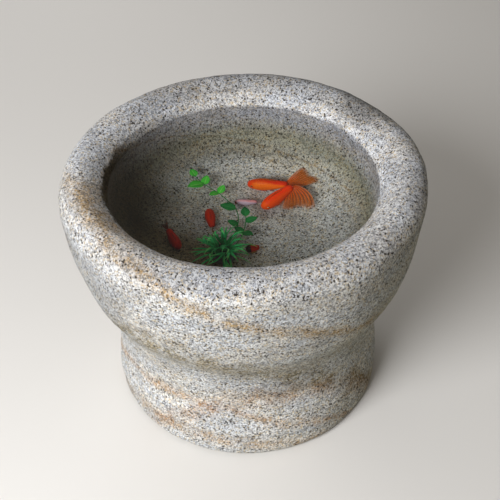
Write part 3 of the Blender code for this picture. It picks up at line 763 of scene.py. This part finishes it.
class TROUGH_OT_stone(bpy.types.Operator):
    """Turn the granite trough from its outline, then carve its surface"""

    bl_idname = "trough.stone"
    bl_label = "Granite Trough"

    def execute(self, context):
        stone = context.scene.trough_stone
        obj = self.turn(stone)
        self.carve(obj, stone)
        finish(obj, Granite().finish(), "trough", "stone_trough", slot="granite")
        return {"FINISHED"}

    def turn(self, stone):
        """Draws half the outline as a chain of corners and spins it round."""
        floor = [Vector((0.0, 0.0, OUTLINE[0].z)), OUTLINE[0]]
        line = even_steps(floor, stone.facet)[:-1] + even_steps(smooth_line(OUTLINE, 8), stone.facet)
        for point in line:
            point.z = max(0.0, point.z)
        line += even_steps([line[-1], Vector((0.0, 0.0, 0.0))], OUTLINE[0].x / 2.0)[1:]
        deselect()
        bpy.ops.mesh.primitive_plane_add(size=stone.facet)
        obj = named("granite_trough")
        edit(obj)
        bpy.ops.mesh.select_all(action="SELECT")
        bpy.ops.mesh.merge(type="CENTER")
        bpy.ops.transform.translate(value=line[0])
        for start, end in zip(line, line[1:]):
            bpy.ops.mesh.extrude_vertices_move(TRANSFORM_OT_translate={"value": end - start})
        bpy.ops.mesh.select_all(action="SELECT")
        bpy.ops.mesh.spin(steps=stone.sides, angle=TURN, center=(0.0, 0.0, 0.0), axis=(0.0, 0.0, 1.0))
        done()
        return clean(obj)

    def carve(self, obj, stone):
        """Makes the swells, then dents the surface, less in the basin and not at all where it stands."""
        edit(obj)
        for place, move, size in SWELLS:
            place = Vector(place)
            nearest = min(bmesh.from_edit_mesh(obj.data).verts, key=lambda vertex: (vertex.co - place).length)
            chosen = nearest.index
            pick(lambda vertex: vertex.index == chosen)
            bpy.ops.transform.translate(value=move, use_proportional_edit=True,
                                        proportional_edit_falloff="SMOOTH", proportional_size=size)
        done()
        rough = obj.vertex_groups.new(name="worked")
        for vertex in obj.data.vertices:
            basin = vertex.co.xy.length < FINER_RADIUS and vertex.co.z > BASIN_FLOOR
            weight = 0.30 if basin else min(1.0, max(0.0, vertex.co.z - 0.001) / 0.010)
            rough.add([vertex.index], weight, "REPLACE")
        for name, size, depth, detail in (("swells", stone.lump_size, stone.lump_depth, 1),
                                          ("dents", stone.dent_size, stone.dent_depth, 2)):
            texture = bpy.data.textures.new(name, "CLOUDS")
            texture.noise_scale = size
            texture.noise_depth = detail
            texture.noise_basis = "ORIGINAL_PERLIN"
            add_modifier(obj, "DISPLACE", texture=texture, texture_coords="LOCAL", strength=depth, mid_level=0.5,
                         vertex_group=rough.name)
        # The basin floor stays under the plant and the fish
        for vertex in obj.data.vertices:
            radius = vertex.co.xy.length
            if radius < FLOOR_RADIUS and vertex.co.z > BASIN_FLOOR:
                vertex.co.z = min(vertex.co.z, floor_height(radius) - 0.0001)
        obj.vertex_groups.clear()


class TROUGH_OT_water(bpy.types.Operator):
    """Fill the basin with still water up to its line"""

    bl_idname = "trough.water"
    bl_label = "Water"

    def execute(self, context):
        water = context.scene.trough_water
        wall = [point + Vector((water.overlap, 0.0, -water.overlap)) for point in basin_outline()]
        wall[-1].z = WATER_LINE
        deselect()
        bpy.ops.mesh.primitive_circle_add(vertices=water.sides, radius=wall[-1].x, fill_type="NGON",
                                          location=(0.0, 0.0, WATER_LINE))
        obj = named("basin_water")
        apply_place(obj)
        edit(obj)
        bpy.ops.mesh.select_all(action="SELECT")
        for above, below in zip(wall[::-1], wall[-2::-1]):
            bpy.ops.mesh.extrude_region_move(TRANSFORM_OT_translate={"value": (0.0, 0.0, below.z - above.z)})
            share = below.x / above.x
            bpy.ops.transform.resize(value=(share, share, 1.0), center_override=(0.0, 0.0, below.z))
        done()
        clean(obj)
        finish(obj, water_finish(), "trough")
        return {"FINISHED"}


# Plant


PLANT_PLACE = Vector((-0.30, -0.55, 0.0)) * GARDEN_RADIUS
HUB_RADIUS = 0.0065
HUB_BORE = 0.0024
HUB_HEIGHT = 0.006
DROOP_SHARE = 0.72
# Whorls as CAD node, blades, reach, rise, how wide the blades are and how much they vary in length
WHORLS = (
    ("grass_whorl_low", 28, 0.052, 0.020, 1.00, 0.30),
    ("grass_whorl_middle", 25, 0.042, 0.034, 1.10, 0.35),
    ("grass_whorl_top", 15, 0.022, 0.048, 1.00, 0.30),
)
# Leafy stems as CAD node, route and leaves, as shares like the source's: x, y and height over the floor;
# place along the stem, length, heading and lift. Leaves beyond the last share are young and bright.
SPRIGS = (
    ("leaf_sprig_long", (
        (-0.22, -0.30, 0.60), (-0.12, -0.08, 1.10), (-0.09, 0.14, 1.65), (-0.14, 0.34, 2.00), (-0.25, 0.50, 2.10),
        (-0.37, 0.66, 2.10), (-0.50, 0.78, 2.15), (-0.63, 0.88, 2.25), (-0.74, 1.00, 2.40),
    ), (
        (0.33, 0.96, 0.444, 0.078), (0.49, 1.33, 0.461, 0.039), (0.70, 0.96, 0.172, 0.067),
        (0.72, 0.89, 0.606, 0.050), (0.87, 1.04, 0.217, 0.061), (0.89, 1.45, 0.574, 0.044),
        (0.985, 0.96, 0.328, 0.056),
    ), 0.6),
    ("leaf_sprig_short", (
        (-0.14, -0.37, 0.55), (-0.04, -0.20, 1.20), (0.01, -0.03, 2.10), (0.02, 0.11, 2.80),
    ), (
        (0.62, 0.96, 0.917, 0.056), (0.64, 0.89, 0.389, 0.056), (0.84, 1.04, 0.056, 0.044),
        (0.98, 1.04, 0.264, 0.033),
    ), 1.0),
)
SPRIG_RISE = 0.010
SPRIG_LEVEL = 0.0048
LEAF_LENGTH = 0.0135
FISH_NODES = ("goldfish_orange", "goldfish_red", "goldfish_white", "goldfish_middle", "goldfish_left",
              "goldfish_small")
# How far a blade stays off a fish or a leaf, and in how many steps its way is tried
BLADE_GAP = 0.004
BLADE_TRIES = 60


def sprig_route(route):
    """The middle line of a leafy stem, from its socket in the weight."""
    low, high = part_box("plant_weight")
    socket = PLANT_PLACE + Vector((0.0, 0.0, low.z + SPRIG_LEVEL))
    out = Vector((*route[0][:2], 0.0)) * GARDEN_RADIUS - PLANT_PLACE
    out = out.normalized() * (high.x - low.x) / 2.0
    knots = [socket + out * 0.75, socket + out]
    for x, y, height in route:
        knot = Vector((x, y, 0.0)) * GARDEN_RADIUS
        knot.z = floor_height(knot.length) + SPRIG_RISE * height
        knots.append(knot)
    return smooth_line(knots, 6)


def leaf_places(route, leaves):
    """Each leaf's stalk, length, heading and lift."""
    points = sprig_route(route)
    return [(points[round(share * (len(points) - 1))], LEAF_LENGTH * length, TURN * heading, TURN * lift)
            for share, length, heading, lift in leaves]


def clear_reach(heading, reach):
    """How far a blade may run before it comes over a fish or a leaf."""
    boxes = [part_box(name) for name in FISH_NODES]
    for _, route, leaves, _ in SPRIGS:
        for stalk, length, way, _ in leaf_places(route, leaves):
            middle = stalk + Vector((math.cos(way), math.sin(way), 0.0)) * length / 2.0
            half = Vector((length, length, 0.0)) / 2.5
            boxes.append((middle - half, middle + half))
    for step in range(1, BLADE_TRIES + 1):
        point = PLANT_PLACE + heading * reach * step / BLADE_TRIES
        if any(low.x - BLADE_GAP < point.x < high.x + BLADE_GAP and low.y - BLADE_GAP < point.y < high.y + BLADE_GAP
               for low, high in boxes):
            return reach * step / BLADE_TRIES
    return reach


def blade_master(name, sway):
    """One blade of unit reach, width and rise: tapered, folded down its middle, arched and swayed aside."""
    steps = 9
    obj = sheet(name, steps, 2, 0.5)
    edit(obj)
    for column in range(steps + 1):
        share = column / steps
        taper = (0.55 + 0.45 * math.sin(math.pi * min(1.0, share * 1.6 + 0.1))) if share < 0.5 else 1.0
        taper *= (1.0 - share ** 2.5) * 0.94 + 0.06
        pick_column(steps, column)
        bpy.ops.transform.resize(value=(1.0, taper, 1.0), center_override=(share, 0.0, 0.0))
        bpy.ops.transform.translate(value=(0.0, sway * share ** 2, math.sin(math.pi * DROOP_SHARE * share)))
    pick_row(steps, 1)
    bpy.ops.transform.translate(value=(0.0, 0.0, -0.035))
    done()
    return obj


def whorl_hub(name):
    """The short tube that a whorl's blades are moulded to."""
    deselect()
    bpy.ops.mesh.primitive_circle_add(vertices=24, radius=HUB_RADIUS, fill_type="NOTHING")
    obj = named(name)
    edit(obj)
    bpy.ops.mesh.select_all(action="SELECT")
    share = HUB_BORE / HUB_RADIUS
    bpy.ops.mesh.extrude_edges_move(TRANSFORM_OT_translate={"value": (0.0, 0.0, HUB_HEIGHT)})
    bpy.ops.mesh.extrude_edges_move(TRANSFORM_OT_translate={"value": (0.0, 0.0, 0.0)})
    bpy.ops.transform.resize(value=(share, share, 1.0), center_override=(0.0, 0.0, HUB_HEIGHT))
    bpy.ops.mesh.extrude_edges_move(TRANSFORM_OT_translate={"value": (0.0, 0.0, -HUB_HEIGHT)})
    pick(lambda vertex: vertex.co.z < MERGE)
    bpy.ops.mesh.bridge_edge_loops()
    done()
    return clean(obj)


class TROUGH_OT_grass(bpy.types.Operator):
    """Mould the three whorls of grass blades on the plant's stem"""

    bl_idname = "trough.grass"
    bl_label = "Grass Whorls"

    def execute(self, context):
        plant = context.scene.trough_plant
        chance = random.Random(11)
        masters = [blade_master("blade_master", sway) for sway in (0.6, 2.0, 3.4, -0.6, -2.0, -3.4)]
        green = blade_finish()
        for whorl in WHORLS:
            self.whorl(*whorl, masters, chance, plant, green)
        discard(*masters)
        return {"FINISHED"}

    def whorl(self, name, count, reach, rise, wide, spread, masters, chance, plant, green):
        """A hub and its blades, which start in it and stop short of the fish and the leaves."""
        middle = PLANT_PLACE.copy()
        middle.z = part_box(name)[0].z
        hub = whorl_hub(name + "_hub")
        hub.location = middle
        blades = []
        for number in range(count):
            angle = TURN * (number + chance.uniform(-0.9, 0.9)) / count
            heading = Vector((math.cos(angle), math.sin(angle), 0.0))
            length = clear_reach(heading, reach * (1.0 - chance.uniform(0.0, spread)))
            blade = copy_of(chance.choice(masters), "blade")
            start = HUB_RADIUS * 0.8
            blade.location = middle + heading * start + Vector((0.0, 0.0, HUB_HEIGHT * chance.uniform(0.35, 0.65)))
            blade.rotation_euler = (chance.uniform(-0.7, 0.7), 0.0, angle)
            blade.scale = (length - start, plant.blade_width * wide * chance.uniform(0.8, 1.15),
                           rise * length / reach * chance.uniform(0.45, 1.0))
            blades.append(blade)
        grass = join(blades, name + "_blades")
        apply_place(grass)
        thicken(grass, plant.blade_thickness)
        whorl = join([grass, hub], name + "_moulding")
        finish(whorl, green, "water_plant", name, slot="grass_blade")


class TROUGH_OT_leaves(bpy.types.Operator):
    """Grow the two leafy stems"""

    bl_idname = "trough.leaves"
    bl_label = "Leafy Stems"

    def execute(self, context):
        plant = context.scene.trough_plant
        master = self.leaf()
        young = leaf_finish("young_water_weed", linear("#178A34"), tuple(plant.leaf_green), linear("#B9EE8C"))
        old = leaf_finish("old_water_weed", linear("#0E5A32"), linear("#1F7D3C"), linear("#4FA35C"))
        for name, route, leaves, young_from in SPRIGS:
            stalk = self.stalk(name, sprig_route(route), plant.stalk)
            pieces = []
            for (share, *_), (place, length, heading, lift) in zip(leaves, leaf_places(route, leaves)):
                leaf = copy_of(master, "leaf")
                leaf.location = place
                leaf.rotation_euler = (0.0, -lift, heading)
                leaf.scale = (length * 1.35, length * 0.95, length)
                dress(leaf, young if share > young_from else old)
                pieces.append(leaf)
            foliage = join(pieces, name + "_leaves")
            apply_place(foliage)
            thicken(foliage, plant.leaf_thickness)
            dress(stalk, old)
            sprig = join([foliage, stalk], name + "_growth")
            finish(sprig, None, "water_plant", name, slot="green_leaf")
        discard(master)
        return {"FINISHED"}

    def leaf(self):
        """One leaf of unit length and width: oval with a point, folded at the midrib and curled down."""
        steps = 8
        folds = (0.09, 0.03, 0.0, 0.03, 0.09)
        obj = sheet("leaf_master", steps, len(folds) - 1, 0.5)
        edit(obj)
        for column in range(steps + 1):
            share = column / steps
            breadth = max(0.05, math.sin(math.pi * share ** 0.8) ** 0.75)
            pick_column(steps, column)
            bpy.ops.transform.resize(value=(1.0, breadth, 1.0), center_override=(share, 0.0, 0.0))
            bpy.ops.transform.translate(value=(0.0, 0.0, 0.10 * math.sin(math.pi * share) - 0.06 * share))
        for row, fold in enumerate(folds):
            pick_row(steps, row)
            bpy.ops.transform.translate(value=(0.0, 0.0, fold))
        done()
        return obj

    def stalk(self, name, points, radius):
        curve = bpy.data.curves.new(name + "_stalk", "CURVE")
        curve.dimensions = "3D"
        curve.bevel_depth = radius
        curve.bevel_resolution = 1
        curve.use_fill_caps = True
        spline = curve.splines.new("POLY")
        spline.points.add(len(points) - 1)
        for target, point in zip(spline.points, points):
            target.co = (*point, 1.0)
            target.radius = 1.0
        obj = bpy.data.objects.new(name + "_stalk", curve)
        bpy.context.scene.collection.objects.link(obj)
        choose(obj)
        bpy.ops.object.convert(target="MESH")
        return clean(bpy.context.object)


class TROUGH_OT_fittings(bpy.types.Operator):
    """Finish the plant's weight and its stem, whose CAD shapes stay"""

    bl_idname = "trough.fittings"
    bl_label = "Weight and Stem"

    def execute(self, context):
        plant = context.scene.trough_plant
        # Cast lead, dull grey and a little mottled where it has oxidised
        lead = plain_finish("cast_lead", plant.lead, 0.55, 0.006, 0.35)
        # Satin plastic rod of the blades' own green
        green = plain_finish("moulded_plastic_rod", plant.blade_green, 0.40, 0.004, 0.30)
        for name, material in (("plant_weight", lead), ("plant_stem", green)):
            for material_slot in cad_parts[name].material_slots:
                material_slot.material = material
        return {"FINISHED"}


# Fish


class Goldfish:
    """One fish as its CAD node lies, with its sizes, its colours and where its head's colour starts."""

    def __init__(self, node, place_shares, body, tail, clearness, fins, colours, head_from, slot):
        x, y, *turn_shares = place_shares
        self.node = node
        self.heading, self.pitch, self.tail_turn, self.tail_roll = (TURN * share for share in turn_shares)
        self.length, self.width, self.height = body
        self.tail_length, self.tail_spread, self.tail_swing, self.tail_lift = tail
        forwards = Vector((math.cos(self.heading), math.sin(self.heading), 0.0))
        self.root = Vector((x, y, 0.0)) * GARDEN_RADIUS - forwards * self.length
        self.clearness = clearness
        self.fins = fins
        self.colours = [linear(code) for code in colours]
        self.head_from = head_from
        self.slot = slot


# Places as shares of the garden's radius and of a whole turn, like the source's: nose x and y, heading, pitch,
# tail turn and tail roll. Body: length, width and height. Tail: length, spread, swing as a share of its turn, and
# lift as a share of a whole turn. Then how clear the fins are, and how large. Colours: back, flank, belly, head,
# root of the fins and their edge. Last, where along the body the head's colour starts.
SCHOOL = (
    Goldfish("goldfish_orange", (0.044, 0.941, 0.471, 0.012, 0.090, -0.050), (0.0625, 0.021, 0.026),
             (0.042, 0.034, 0.85, 0.024), 0.60, 1.0,
             ("#D83208", "#F47510", "#E4480A", "#EE4408", "#EC5E08", "#E28420"), 0.80, "orange_fish_skin"),
    Goldfish("goldfish_red", (0.233, 0.357, 0.601, 0.045, -0.200, -0.045), (0.0604, 0.021, 0.026),
             (0.041, 0.047, 1.35, -0.072), 0.60, 1.0,
             ("#EC3A04", "#F85206", "#E84A08", "#FC5A08", "#E65606", "#DC7C1C"), 0.80, "red_fish_skin"),
    Goldfish("goldfish_white", (-0.15, 0.56, 0.486, 0.0, 0.0, 0.222), (0.0340, 0.0105, 0.0135),
             (0.008, 0.009, 0.0, 0.0), 0.85, 0.7,
             ("#E8A4AC", "#D4C2DC", "#C4B0D0", "#7A1620", "#CDB0C8", "#E2CCD8"), 0.86, "white_fish_skin"),
    Goldfish("goldfish_middle", (-0.525, 0.40, 0.273, 0.0, 0.0, 0.222), (0.0412, 0.0155, 0.017),
             (0.016, 0.014, 0.0, 0.0), 0.85, 0.6,
             ("#D02E04", "#CC2C04", "#A01C04", "#D03204", "#8E2206", "#904418"), 0.80, "dark_red_fish_skin"),
    Goldfish("goldfish_left", (-0.92, -0.45, 0.820, 0.017, 0.0, 0.194), (0.0412, 0.0155, 0.017),
             (0.018, 0.019, 0.0, 0.0), 0.95, 0.6,
             ("#C42204", "#AE1A04", "#8A1204", "#B81E04", "#961E08", "#7E3014"), 0.80, "dark_red_fish_skin"),
    # The small fish's near-black head is partly its mouth and eyes, partly painted shade
    Goldfish("goldfish_small", (0.0, -0.46, 0.511, 0.0, 0.0, 0.194), (0.0200, 0.013, 0.014),
             (0.006, 0.010, 0.0, 0.0), 0.90, 1.8,
             ("#B01C04", "#D03408", "#D84A0C", "#2A0804", "#E2A424", "#ECC850"), 0.56, "dark_red_fish_skin"),
)


def body_breadth(share):
    """A fish's breadth from the root of its tail to its nose, as a share of the widest."""
    if share < 0.60:
        rise = share / 0.60
        blunt = min(1.0, 0.2 + 10.0 * share) ** 0.5
        return blunt * (0.60 + 0.40 * rise * rise * (3.0 - 2.0 * rise))
    fall = (share - 0.60) / 0.40
    return math.sqrt(max(0.0, 1.0 - fall ** 2.2))


def set_pattern(obj, place_of):
    """Writes the map that the skin's pattern follows, from each corner's place."""
    layer = obj.data.uv_layers[0] if obj.data.uv_layers else obj.data.uv_layers.new(name="pattern")
    for loop in obj.data.loops:
        layer.data[loop.index].uv = place_of(obj.data.vertices[loop.vertex_index].co)
    layer.name = "UVMap"


def fish_body():
    """A body of unit length, width and height along +X, from the tail root to the nose."""
    rings = 18
    deselect()
    bpy.ops.mesh.primitive_uv_sphere_add(segments=20, ring_count=rings, radius=0.5, location=(0.5, 0.0, 0.0),
                                         rotation=(0.0, math.pi / 2.0, 0.0))
    obj = named("fish_body_master")
    apply_place(obj)
    edit(obj)
    for ring in range(1, rings):
        place = 0.5 + 0.5 * math.cos(math.pi * ring / rings)
        wide = body_breadth(place) / math.sin(math.pi * ring / rings)
        pick(lambda vertex: abs(vertex.co.x - place) < MERGE * 10.0)
        bpy.ops.transform.resize(value=(1.0, wide, wide), center_override=(place, 0.0, 0.0))
        bpy.ops.transform.translate(value=(0.0, 0.0, 0.14 * (1.0 - place) ** 2))
    # A fuller belly and a blunt mouth
    pick(lambda vertex: 0.35 < vertex.co.x < 0.80 and vertex.co.z < -0.30)
    bpy.ops.transform.resize(value=(1.0, 1.12, 1.0), center_override=(0.6, 0.0, 0.0))
    pick(lambda vertex: vertex.co.x > 0.985)
    bpy.ops.transform.translate(value=(-0.012, 0.0, -0.04))
    done()
    clean(obj, 60.0)
    set_pattern(obj, lambda corner: (corner.x, corner.z / (body_breadth(corner.x) + 0.05) * 0.9 + 0.5))
    return obj


TAIL_COLUMNS = 9
# Fins in pairs: name; length, spread and thickness as shares of the fish's length; roll, droop and spread of its
# turn, the last in degrees; place along the fish, out from its middle and up, as shares of its sizes
PAIRED_FINS = (
    ("side_fin", (0.20, 0.13, 0.20), (0.30, 0.10, 12.0), (0.68, 0.40, -0.20)),
    ("belly_fin", (0.15, 0.10, 0.10), (0.50, 0.0, 10.0), (0.44, 0.28, -0.34)),
)


def fan(name, rows, columns, root, lengths, ripple):
    """A fin of unit length and spread along -X: a grid opened like a fan from its root, cut back and rippled."""
    obj = sheet(name, columns, rows, -0.5)
    set_pattern(obj, lambda corner: (-corner.x, corner.y + 0.5))
    edit(obj)
    for column in range(columns + 1):
        share = 1.0 - column / columns
        wide = root + (1.0 - root) * math.sin(math.pi / 2.0 * share) ** 0.9
        pick_column(columns, column)
        bpy.ops.transform.resize(value=(1.0, wide, 1.0), center_override=(-share, 0.0, 0.0))
    for row in range(rows + 1):
        across = row / rows * (len(lengths) - 1)
        low = min(int(across), len(lengths) - 2)
        reach = lengths[low] + (lengths[low + 1] - lengths[low]) * (across - low)
        pick_row(columns, row)
        bpy.ops.transform.resize(value=(reach, 1.0, 1.0), center_override=(0.0, 0.0, 0.0))
        wave = ripple * math.sin(row * 1.2)
        for part in (0.30, 0.55, 0.80):
            pick(lambda vertex: vertex.index // (columns + 1) == row and
                 vertex.index % (columns + 1) < columns * (1.0 - part))
            bpy.ops.transform.translate(value=(0.0, 0.0, wave * part))
    done()
    return obj


def swept(master, name, columns, turn):
    """A copy of a fan whose far part is swung round, column after column, like a tail in a turn."""
    obj = copy_of(master, name)
    edit(obj)
    hinge, step = Vector((0.0, 0.0, 0.0)), Vector((-1.0 / columns, 0.0, 0.0))
    for column in range(1, columns):
        hinge = hinge + Matrix.Rotation(turn * (column - 1) / columns, 3, "Z") @ step
        pick(lambda vertex: vertex.index % (columns + 1) < columns - column)
        bpy.ops.transform.rotate(value=-turn / columns, orient_axis="Z", orient_type="GLOBAL",
                                 center_override=hinge)
    done()
    return obj


class TROUGH_OT_goldfish(bpy.types.Operator):
    """Shape one goldfish and its fins, then copy them to the six fish"""

    bl_idname = "trough.goldfish"
    bl_label = "Goldfish"

    def execute(self, context):
        settings = context.scene.trough_fish
        masters = {
            "body": fish_body(),
            "back": fan("back_fin_master", 8, 5, 0.75, (0.55, 0.9, 1.0, 0.80, 0.55), 0.02),
            "side": fan("side_fin_master", 6, 5, 0.25, (0.6, 0.9, 1.0, 0.8), 0.03),
            "veil": fan("veil_tail_master", 16, TAIL_COLUMNS, 0.26, (0.94, 1.0, 0.96, 0.88, 0.96, 1.0, 0.94), 0.02),
            "tail": fan("forked_tail_master", 10, TAIL_COLUMNS, 0.12, (1.0, 0.92, 0.70, 0.92, 1.0), 0.03),
        }
        iris = eye_finish("wet_gold_iris", linear("#C8862A"))
        pupil = eye_finish("wet_black_pupil", settings.black)
        for fish in SCHOOL:
            self.assemble(fish, masters, settings, iris, pupil)
        discard(*masters.values())
        return {"FINISHED"}

    def place(self, piece, size, turn, place, material):
        """Sizes, turns and moves a piece, and gives it its finish."""
        piece.scale = size
        piece.rotation_euler = turn
        piece.location = place
        apply_place(piece)
        dress(piece, material)
        return piece

    def fin(self, piece, size, turn, place, material, thickness):
        """A fin in its place, thickened to a film."""
        self.place(piece, size, turn, place, material)
        thicken(piece, thickness)
        return piece

    def tail(self, fish, masters, film, thickness):
        """The tail: one forked fan, or a veil of two fans that part at their root, swing round and rise or droop."""
        length, spread = fish.tail_length * 1.05, fish.tail_spread
        root = (fish.length * 0.03, 0.0, fish.height * 0.14)
        if not fish.tail_turn:
            piece = copy_of(masters["tail"], "tail")
            return [self.fin(piece, (length, spread, length), (fish.tail_roll, 0.0, 0.0), root, film, thickness)]
        fans = []
        for parting, share in ((-0.12, 1.0), (0.12, 0.9)):
            piece = swept(masters["veil"], "veil", TAIL_COLUMNS, fish.tail_turn * 0.55)
            turn = (fish.tail_roll * 0.6 + parting, TURN * fish.tail_lift, fish.tail_turn * fish.tail_swing)
            fans.append(self.fin(piece, (length * share, spread * 1.1, length), turn, root, film, thickness))
        return fans

    def assemble(self, fish, masters, settings, iris, pupil):
        """One fish from copies of the masters, turned and set down where its CAD node lies."""
        back, flank, belly, head, root, edge = fish.colours
        skin = skin_finish(fish.node + "_scales", back, flank, belly, head, fish.head_from)
        film = fin_finish(fish.node + "_fin", root, edge, fish.clearness)
        length, width, height, thick = fish.length, fish.width, fish.height, settings.fin_thickness
        body = self.place(copy_of(masters["body"], "body"), (length, width, height), (0.0, 0.0, 0.0),
                          (0.0, 0.0, 0.0), skin)
        pieces = [body]
        # The back fin is a fan turned to stand along the back: its root is as long as its edge
        upright = copy_of(masters["back"], "back_fin")
        upright.rotation_euler.z = math.pi / 2.0
        upright.scale = (height * 0.36, length * 0.46, height * 0.36)
        apply_place(upright)
        pieces.append(self.fin(upright, (1.0, 1.0, 1.0), (-math.pi / 2.0, 0.0, 0.0),
                               (length * 0.50, 0.0, height * 0.34), film, thick))
        for side in (-1.0, 1.0):
            for name, (reach, spread, rise), (roll, droop, turn), (along, out, up) in PAIRED_FINS:
                pieces.append(self.fin(copy_of(masters["side"], name),
                                       (length * reach * fish.fins, length * spread * fish.fins, length * rise),
                                       (side * roll, droop, -side * math.radians(turn)),
                                       (length * along, side * width * out, height * up), film, thick))
            for name, size, out, material in (("iris", 0.034, 0.33, iris), ("pupil", 0.022, 0.37, pupil)):
                deselect()
                bpy.ops.mesh.primitive_uv_sphere_add(segments=12, ring_count=8, radius=length * size)
                eye = self.place(named(name), (1.0, 0.7, 1.0), (0.0, 0.0, 0.0),
                                 (length * 0.86, side * width * out, height * 0.10), material)
                choose(eye)
                bpy.ops.object.shade_smooth()
                pieces.append(eye)
        pieces += self.tail(fish, masters, film, thick)
        whole = join(pieces, fish.node + "_figure")
        whole.rotation_euler = (0.0, fish.pitch, fish.heading)
        whole.location = fish.root
        apply_place(whole)
        low = min(vertex.co.z for vertex in whole.data.vertices)
        whole.location.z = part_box(fish.node)[0].z - low
        finish(whole, None, fish.node, fish.node, slot=fish.slot)


# Stage


FLOOR_WIDTH = 12.0
# The floor lies a hair under the base, so that the two surfaces don't mix
FLOOR_LEVEL = -0.0003
KEY_PLACE = Vector((-1.11, -1.47, 1.42))
FILL_PLACE = Vector((-0.62, 1.70, 1.15))
LAMP_AIM = Vector((0.0, 0.0, 0.22))
LAMP_COLOUR = (0.985, 0.985, 1.0)
# The side from which the even light is weaker, and how much of it comes from there
WEAK_SIDE = (0.87, -0.50, 0.0)
WEAK_SHARE = 0.55


class TROUGH_OT_stage(bpy.types.Operator):
    """Lay the floor and set the lamps and the camera"""

    bl_idname = "trough.stage"
    bl_label = "Stage"

    def execute(self, context):
        stage = context.scene.trough_stage
        deselect()
        bpy.ops.mesh.primitive_plane_add(size=FLOOR_WIDTH, location=(0.0, 0.0, FLOOR_LEVEL))
        floor = named("studio_floor")
        apply_place(floor)
        dress(floor, floor_finish(stage))
        self.light(context, stage)
        self.surround(context, stage)
        self.look(context)
        return {"FINISHED"}

    def light(self, context, stage):
        """One wide soft lamp from the front left, and a weak one from behind."""
        for name, place, power, size in (
            ("key", KEY_PLACE, stage.key_power, stage.key_size),
            ("fill", FILL_PLACE, stage.fill_power, stage.fill_size),
        ):
            data = bpy.data.lights.new(name, "AREA")
            data.shape = "DISK"
            data.size = size
            data.energy = power
            data.color = LAMP_COLOUR
            lamp = bpy.data.objects.new(name, data)
            context.scene.collection.objects.link(lamp)
            lamp.location = place
            lamp.rotation_euler = (LAMP_AIM - place).to_track_quat("-Z", "Y").to_euler()
            # The water doesn't mirror the lamp behind it
            lamp.visible_glossy = name == "key"

    def surround(self, context, stage):
        """Even light from all round, behind which the camera sees a pale backdrop."""
        world = bpy.data.worlds.new("studio")
        context.scene.world = world
        world.use_nodes = True
        world.node_tree.nodes.clear()
        node = partial(add_node, world.node_tree)
        rays = node("LightPath")
        seen = node("Math", {0: rays["Is Camera Ray"], 1: rays["Is Transmission Ray"]}, operation="MAXIMUM")[0]
        # The even light is weaker from the right, so that side of the bowl falls into soft shade
        towards = node("VectorMath", {0: node("TexCoord")["Generated"], 1: WEAK_SIDE}, operation="DOT_PRODUCT")
        strength = node("MapRange", {"Value": towards["Value"], "From Min": -0.1, "From Max": 0.8,
                                     "To Min": stage.ambient, "To Max": stage.ambient * WEAK_SHARE})["Result"]
        even = node("Background", {"Color": tuple(stage.surroundings), "Strength": strength})[0]
        pale = node("Background", {"Color": tuple(stage.floor), "Strength": 1.0})[0]
        node("OutputWorld", {"Surface": node("MixShader", {0: seen, 1: even, 2: pale})[0]})

    def look(self, context):
        """Stands the camera where the photograph was taken from."""
        back = Vector((0.0, -math.cos(CAMERA_ELEVATION), math.sin(CAMERA_ELEVATION)))
        across = Vector((0.0, 0.0, 1.0)).cross(back).normalized()
        up = back.cross(across)
        right = across * math.cos(CAMERA_ROLL) + up * math.sin(CAMERA_ROLL)
        top = up * math.cos(CAMERA_ROLL) - across * math.sin(CAMERA_ROLL)
        data = bpy.data.cameras.new("camera")
        data.lens = LENS
        data.sensor_width = SENSOR
        camera = bpy.data.objects.new("camera", data)
        context.scene.collection.objects.link(camera)
        place = Vector(CAMERA_TARGET) + back * CAMERA_DISTANCE
        turn = Matrix((right, top, back)).transposed().to_4x4()
        camera.matrix_world = Matrix.Translation(place) @ turn
        context.scene.camera = camera
        context.scene.view_settings.view_transform = "Standard"


class TROUGH_PT_panel(bpy.types.Panel):
    """The trough's pieces and settings in the 3D view's sidebar"""

    bl_idname = "TROUGH_PT_panel"
    bl_label = "Granite Water Trough"
    bl_space_type = "VIEW_3D"
    bl_region_type = "UI"
    bl_category = "Trough"

    def draw(self, context):
        for operator in OPERATORS:
            self.layout.operator(operator.bl_idname)
        for name, group in SETTINGS:
            self.layout.label(text=group.__doc__)
            settings = getattr(context.scene, name)
            for key in group.__annotations__:
                self.layout.prop(settings, key)


OPERATORS = (TROUGH_OT_stone, TROUGH_OT_water, TROUGH_OT_grass, TROUGH_OT_leaves, TROUGH_OT_fittings,
             TROUGH_OT_goldfish, TROUGH_OT_stage)
SETTINGS = (
    ("trough_stone", TroughStoneSettings),
    ("trough_water", TroughWaterSettings),
    ("trough_plant", TroughPlantSettings),
    ("trough_fish", TroughFishSettings),
    ("trough_stage", TroughStageSettings),
)


def register():
    for name, group in SETTINGS:
        bpy.utils.register_class(group)
        setattr(bpy.types.Scene, name, PointerProperty(type=group))
    for each in (*OPERATORS, TROUGH_PT_panel):
        bpy.utils.register_class(each)


def unregister():
    for each in reversed((*OPERATORS, TROUGH_PT_panel)):
        bpy.utils.unregister_class(each)
    for name, group in reversed(SETTINGS):
        delattr(bpy.types.Scene, name)
        bpy.utils.unregister_class(group)


def main():
    register()
    bpy.ops.trough.stone()
    bpy.ops.trough.water()
    bpy.ops.trough.grass()
    bpy.ops.trough.leaves()
    bpy.ops.trough.fittings()
    bpy.ops.trough.goldfish()
    bpy.ops.trough.stage()


if __name__ == "__main__":
    main()
